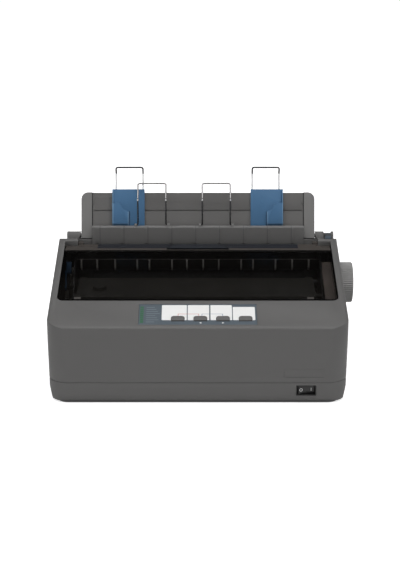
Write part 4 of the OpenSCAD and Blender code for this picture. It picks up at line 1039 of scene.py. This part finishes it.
# %% Knob from a cylinder
KNOB_STEPS = [(-1, 1.2, 0.93), (1, 0.7, 0.975), (1, 0.3, 0.97)]  # side, how far out, how much narrower
knob = turned("knob", knob_radius, knob_inside + 1.2 * MM, knob_end - 1.0 * MM, 2 * KNOB_RIBS)
with editing(knob):
    pick(knob, "VERT", on_groove)
    shrink = 1 - RIB_DEEP * MM / knob_radius
    bpy.ops.transform.resize(value=(1, shrink, shrink), center_override=knob_axis)
    for side, out, taper in KNOB_STEPS:
        pick(knob, "FACE", lambda face: face.normal.x * side > 0.99)
        bpy.ops.mesh.extrude_region_move(TRANSFORM_OT_translate={"value": (side * out * MM, 0, 0)})
        bpy.ops.transform.resize(value=(1, taper, taper), center_override=knob_axis)
    pick(knob, "FACE", lambda face: face.normal.x > 0.99)
    bpy.ops.mesh.inset(thickness=3 * MM)
    bpy.ops.mesh.inset(thickness=1.2 * MM, depth=-1.0 * MM)
    pick(knob, "FACE", lambda face: face.normal.x < -0.99)
    bpy.ops.mesh.inset(thickness=16 * MM)
    bpy.ops.mesh.extrude_region_move(TRANSFORM_OT_translate={"value": (-10 * MM, 0, 0)})
cut_out(knob, turned("bore", BORE_RADIUS * MM, knob_inside - 15 * MM, knob_end - 2.9 * MM, 48))
dress(knob, knob_plastic, "platen_knob", smooth=20)

# %% [markdown]
# ## Power rocker
# The rocker carries two printed marks, a bar for on and a ring for off. The print has no
# thickness, so it belongs in the finish: the bar is a thin patch, and the ring is a band
# of distances round a point.

# %% Rocker
RING_RADIUS = 1.6
rocker_plastic = Finish("rocker_plastic", Roughness=0.35)
rx, rz = rocker_plastic.case_x(), rocker_plastic.z
bar = rocker_plastic.patch(rx, rz, 130.9, 131.5, 14.9, 18.5, 0.25)
from_ring_x, from_ring_z = rx - 119.4, rz - 16.7
ring_out = ((from_ring_x * from_ring_x + from_ring_z * from_ring_z) ** 0.5 - RING_RADIUS).size()
marks = bar.high(rocker_plastic.spread(ring_out, 0.2, 0.4, 1, 0))
rocker_plastic.set(Base_Color=rocker_plastic.blend(marks, (0.014, 0.014, 0.014), (0.75, 0.75, 0.74)),
                   Normal=rocker_plastic.relief(rocker_plastic.noise(0.4) * 0.015))
rocker = copy_solid("power_rocker", "switch_rocker")
soften(rocker, 0.35, 3)
dress(rocker, rocker_plastic, "power_rocker")

# %% [markdown]
# ## Ribbon cartridge
# The cartridge is the flat box that shows through the cover. Its top is a lid with a
# border, which an inset and a small rise give, so that its edge catches the light even
# behind smoked plastic.

# %% Ribbon cartridge
cartridge = copy_solid("ribbon_cartridge", "cartridge")
with editing(cartridge):
    pick(cartridge, "FACE", lambda face: face.normal.z > 0.99 and face.calc_area() > 0.01)
    bpy.ops.mesh.inset(thickness=4 * MM)
    bpy.ops.mesh.inset(thickness=0.5 * MM, depth=0.8 * MM)
soften(cartridge, 0.4, 2)
dress(cartridge, ribbon_plastic, "ribbon_cartridge")

# %% [markdown]
# ## Shelf beside the frame
# Through the right side of the cover one sees a pale strip, the inner ledge of the case.
# It is a thin strip that climbs with the slope, so a block is made level and its far end
# is lifted. A plane would do from the front, and would vanish from the side.

# %% Shelf beside the frame
SHELF_CLIMB = 26.5
shelf = block("side_shelf", (152, 170.8), (62, 166), (88, 90))
with editing(shelf):
    pick(shelf, "VERT", lambda vertex: mm(vertex.co)[1] > 100)
    bpy.ops.transform.translate(value=(0, 0, SHELF_CLIMB * MM))
soften(shelf, 0.5)
dress(shelf, shelf_plastic, beside="lower_case")

# %% [markdown]
# ## Wires
# A wire rest is one bright steel wire, bent round a jig. Its middle line is drawn as a
# chain of corners, the corners are rounded by a vertex bevel, and the line then becomes
# a round tube. A tube could also be swept by hand with spin at each bend, and this way
# one function makes all four wires.


# %% A bent wire
def bend_wire(name, corners, radius, bend):
    """A tube along a chain of corners, rounded at each inner corner."""
    bpy.ops.mesh.primitive_plane_add(size=1, location=(0, 0, 0))
    piece = bpy.context.object
    piece.name = name
    piece.data.name = name
    with editing(piece):
        bpy.ops.mesh.select_all(action="SELECT")
        bpy.ops.mesh.merge(type="CENTER")
        bpy.ops.transform.translate(value=corners[0])
        for start, end in zip(corners, corners[1:]):
            bpy.ops.mesh.extrude_vertices_move(TRANSFORM_OT_translate={"value": end - start})
        pick(piece, "VERT", lambda vertex: len(vertex.link_edges) == 2)
        bpy.ops.mesh.bevel(offset=bend * MM, offset_type="OFFSET", segments=6, affect="VERTICES")
    bpy.ops.object.convert(target="CURVE")
    piece = bpy.context.object
    piece.data.bevel_depth = radius * MM
    piece.data.bevel_resolution = 3
    piece.data.use_fill_caps = True
    bpy.ops.object.convert(target="MESH")
    return piece


WIRE_RADIUS = 1.0
BEND_RADIUS = 2.4
print("wire", 2 * WIRE_RADIUS, "mm thick")

# %% [markdown]
# ## Wires on the exit panel
# Two wires hold the paper off the exit panel. Each has two short feet that turn in the
# panel, two upright legs, and a top that leans back over the legs. The left and right
# wire are the same route with other sides.

# %% Wires on the exit panel
EXIT_PIVOT = (206.5, LEDGE + 1.8)
EXIT_LEG = 33
EXIT_TIP = 23 / math.sqrt(2)
FOOT_LENGTH = 4.4
for name, node, left, right in [("exit_rest_left", "exit_wire_left", -75, -40),
                                ("exit_rest_right", "exit_wire_right", 5.5, 40.5)]:
    depth, height = EXIT_PIVOT
    bend_height = height + EXIT_LEG
    route = [at(left - FOOT_LENGTH, depth, height), at(left, depth, height), at(left, depth, bend_height),
             at(left, depth + EXIT_TIP, bend_height + EXIT_TIP),
             at(right, depth + EXIT_TIP, bend_height + EXIT_TIP), at(right, depth, bend_height),
             at(right, depth, height), at(right + FOOT_LENGTH, depth, height)]
    dress(bend_wire(name, route, WIRE_RADIUS, BEND_RADIUS), exit_wire, node, smooth=60)

# %% [markdown]
# ## Wires on the edge guides
# Two taller wires slide up out of the blue guides, to hold a long sheet. Their places are
# given on the leaning guide, up its face and out from it, so the lean is worked out once,
# in `on_guide`. The top bends towards the front, clear of the holes that it slides in.

# %% Wires on the edge guides
WIRE_OUT = -5.25
WIRE_FOOT = 13.2
WIRE_BEND = 66.5
TIP_UP = 72.27
TIP_OUT = 0.54
for name, node, left, right in [("guide_rest_left", "guide_wire_left", -103, -69.2),
                                ("guide_rest_right", "guide_wire_right", 68.4, 102.2)]:
    route = [on_guide(left, WIRE_FOOT, WIRE_OUT), on_guide(left, WIRE_BEND, WIRE_OUT),
             on_guide(left, TIP_UP, TIP_OUT), on_guide(right, TIP_UP, TIP_OUT),
             on_guide(right, WIRE_BEND, WIRE_OUT), on_guide(right, WIRE_FOOT, WIRE_OUT)]
    dress(bend_wire(name, route, WIRE_RADIUS, BEND_RADIUS), tall_wire, node, smooth=60)
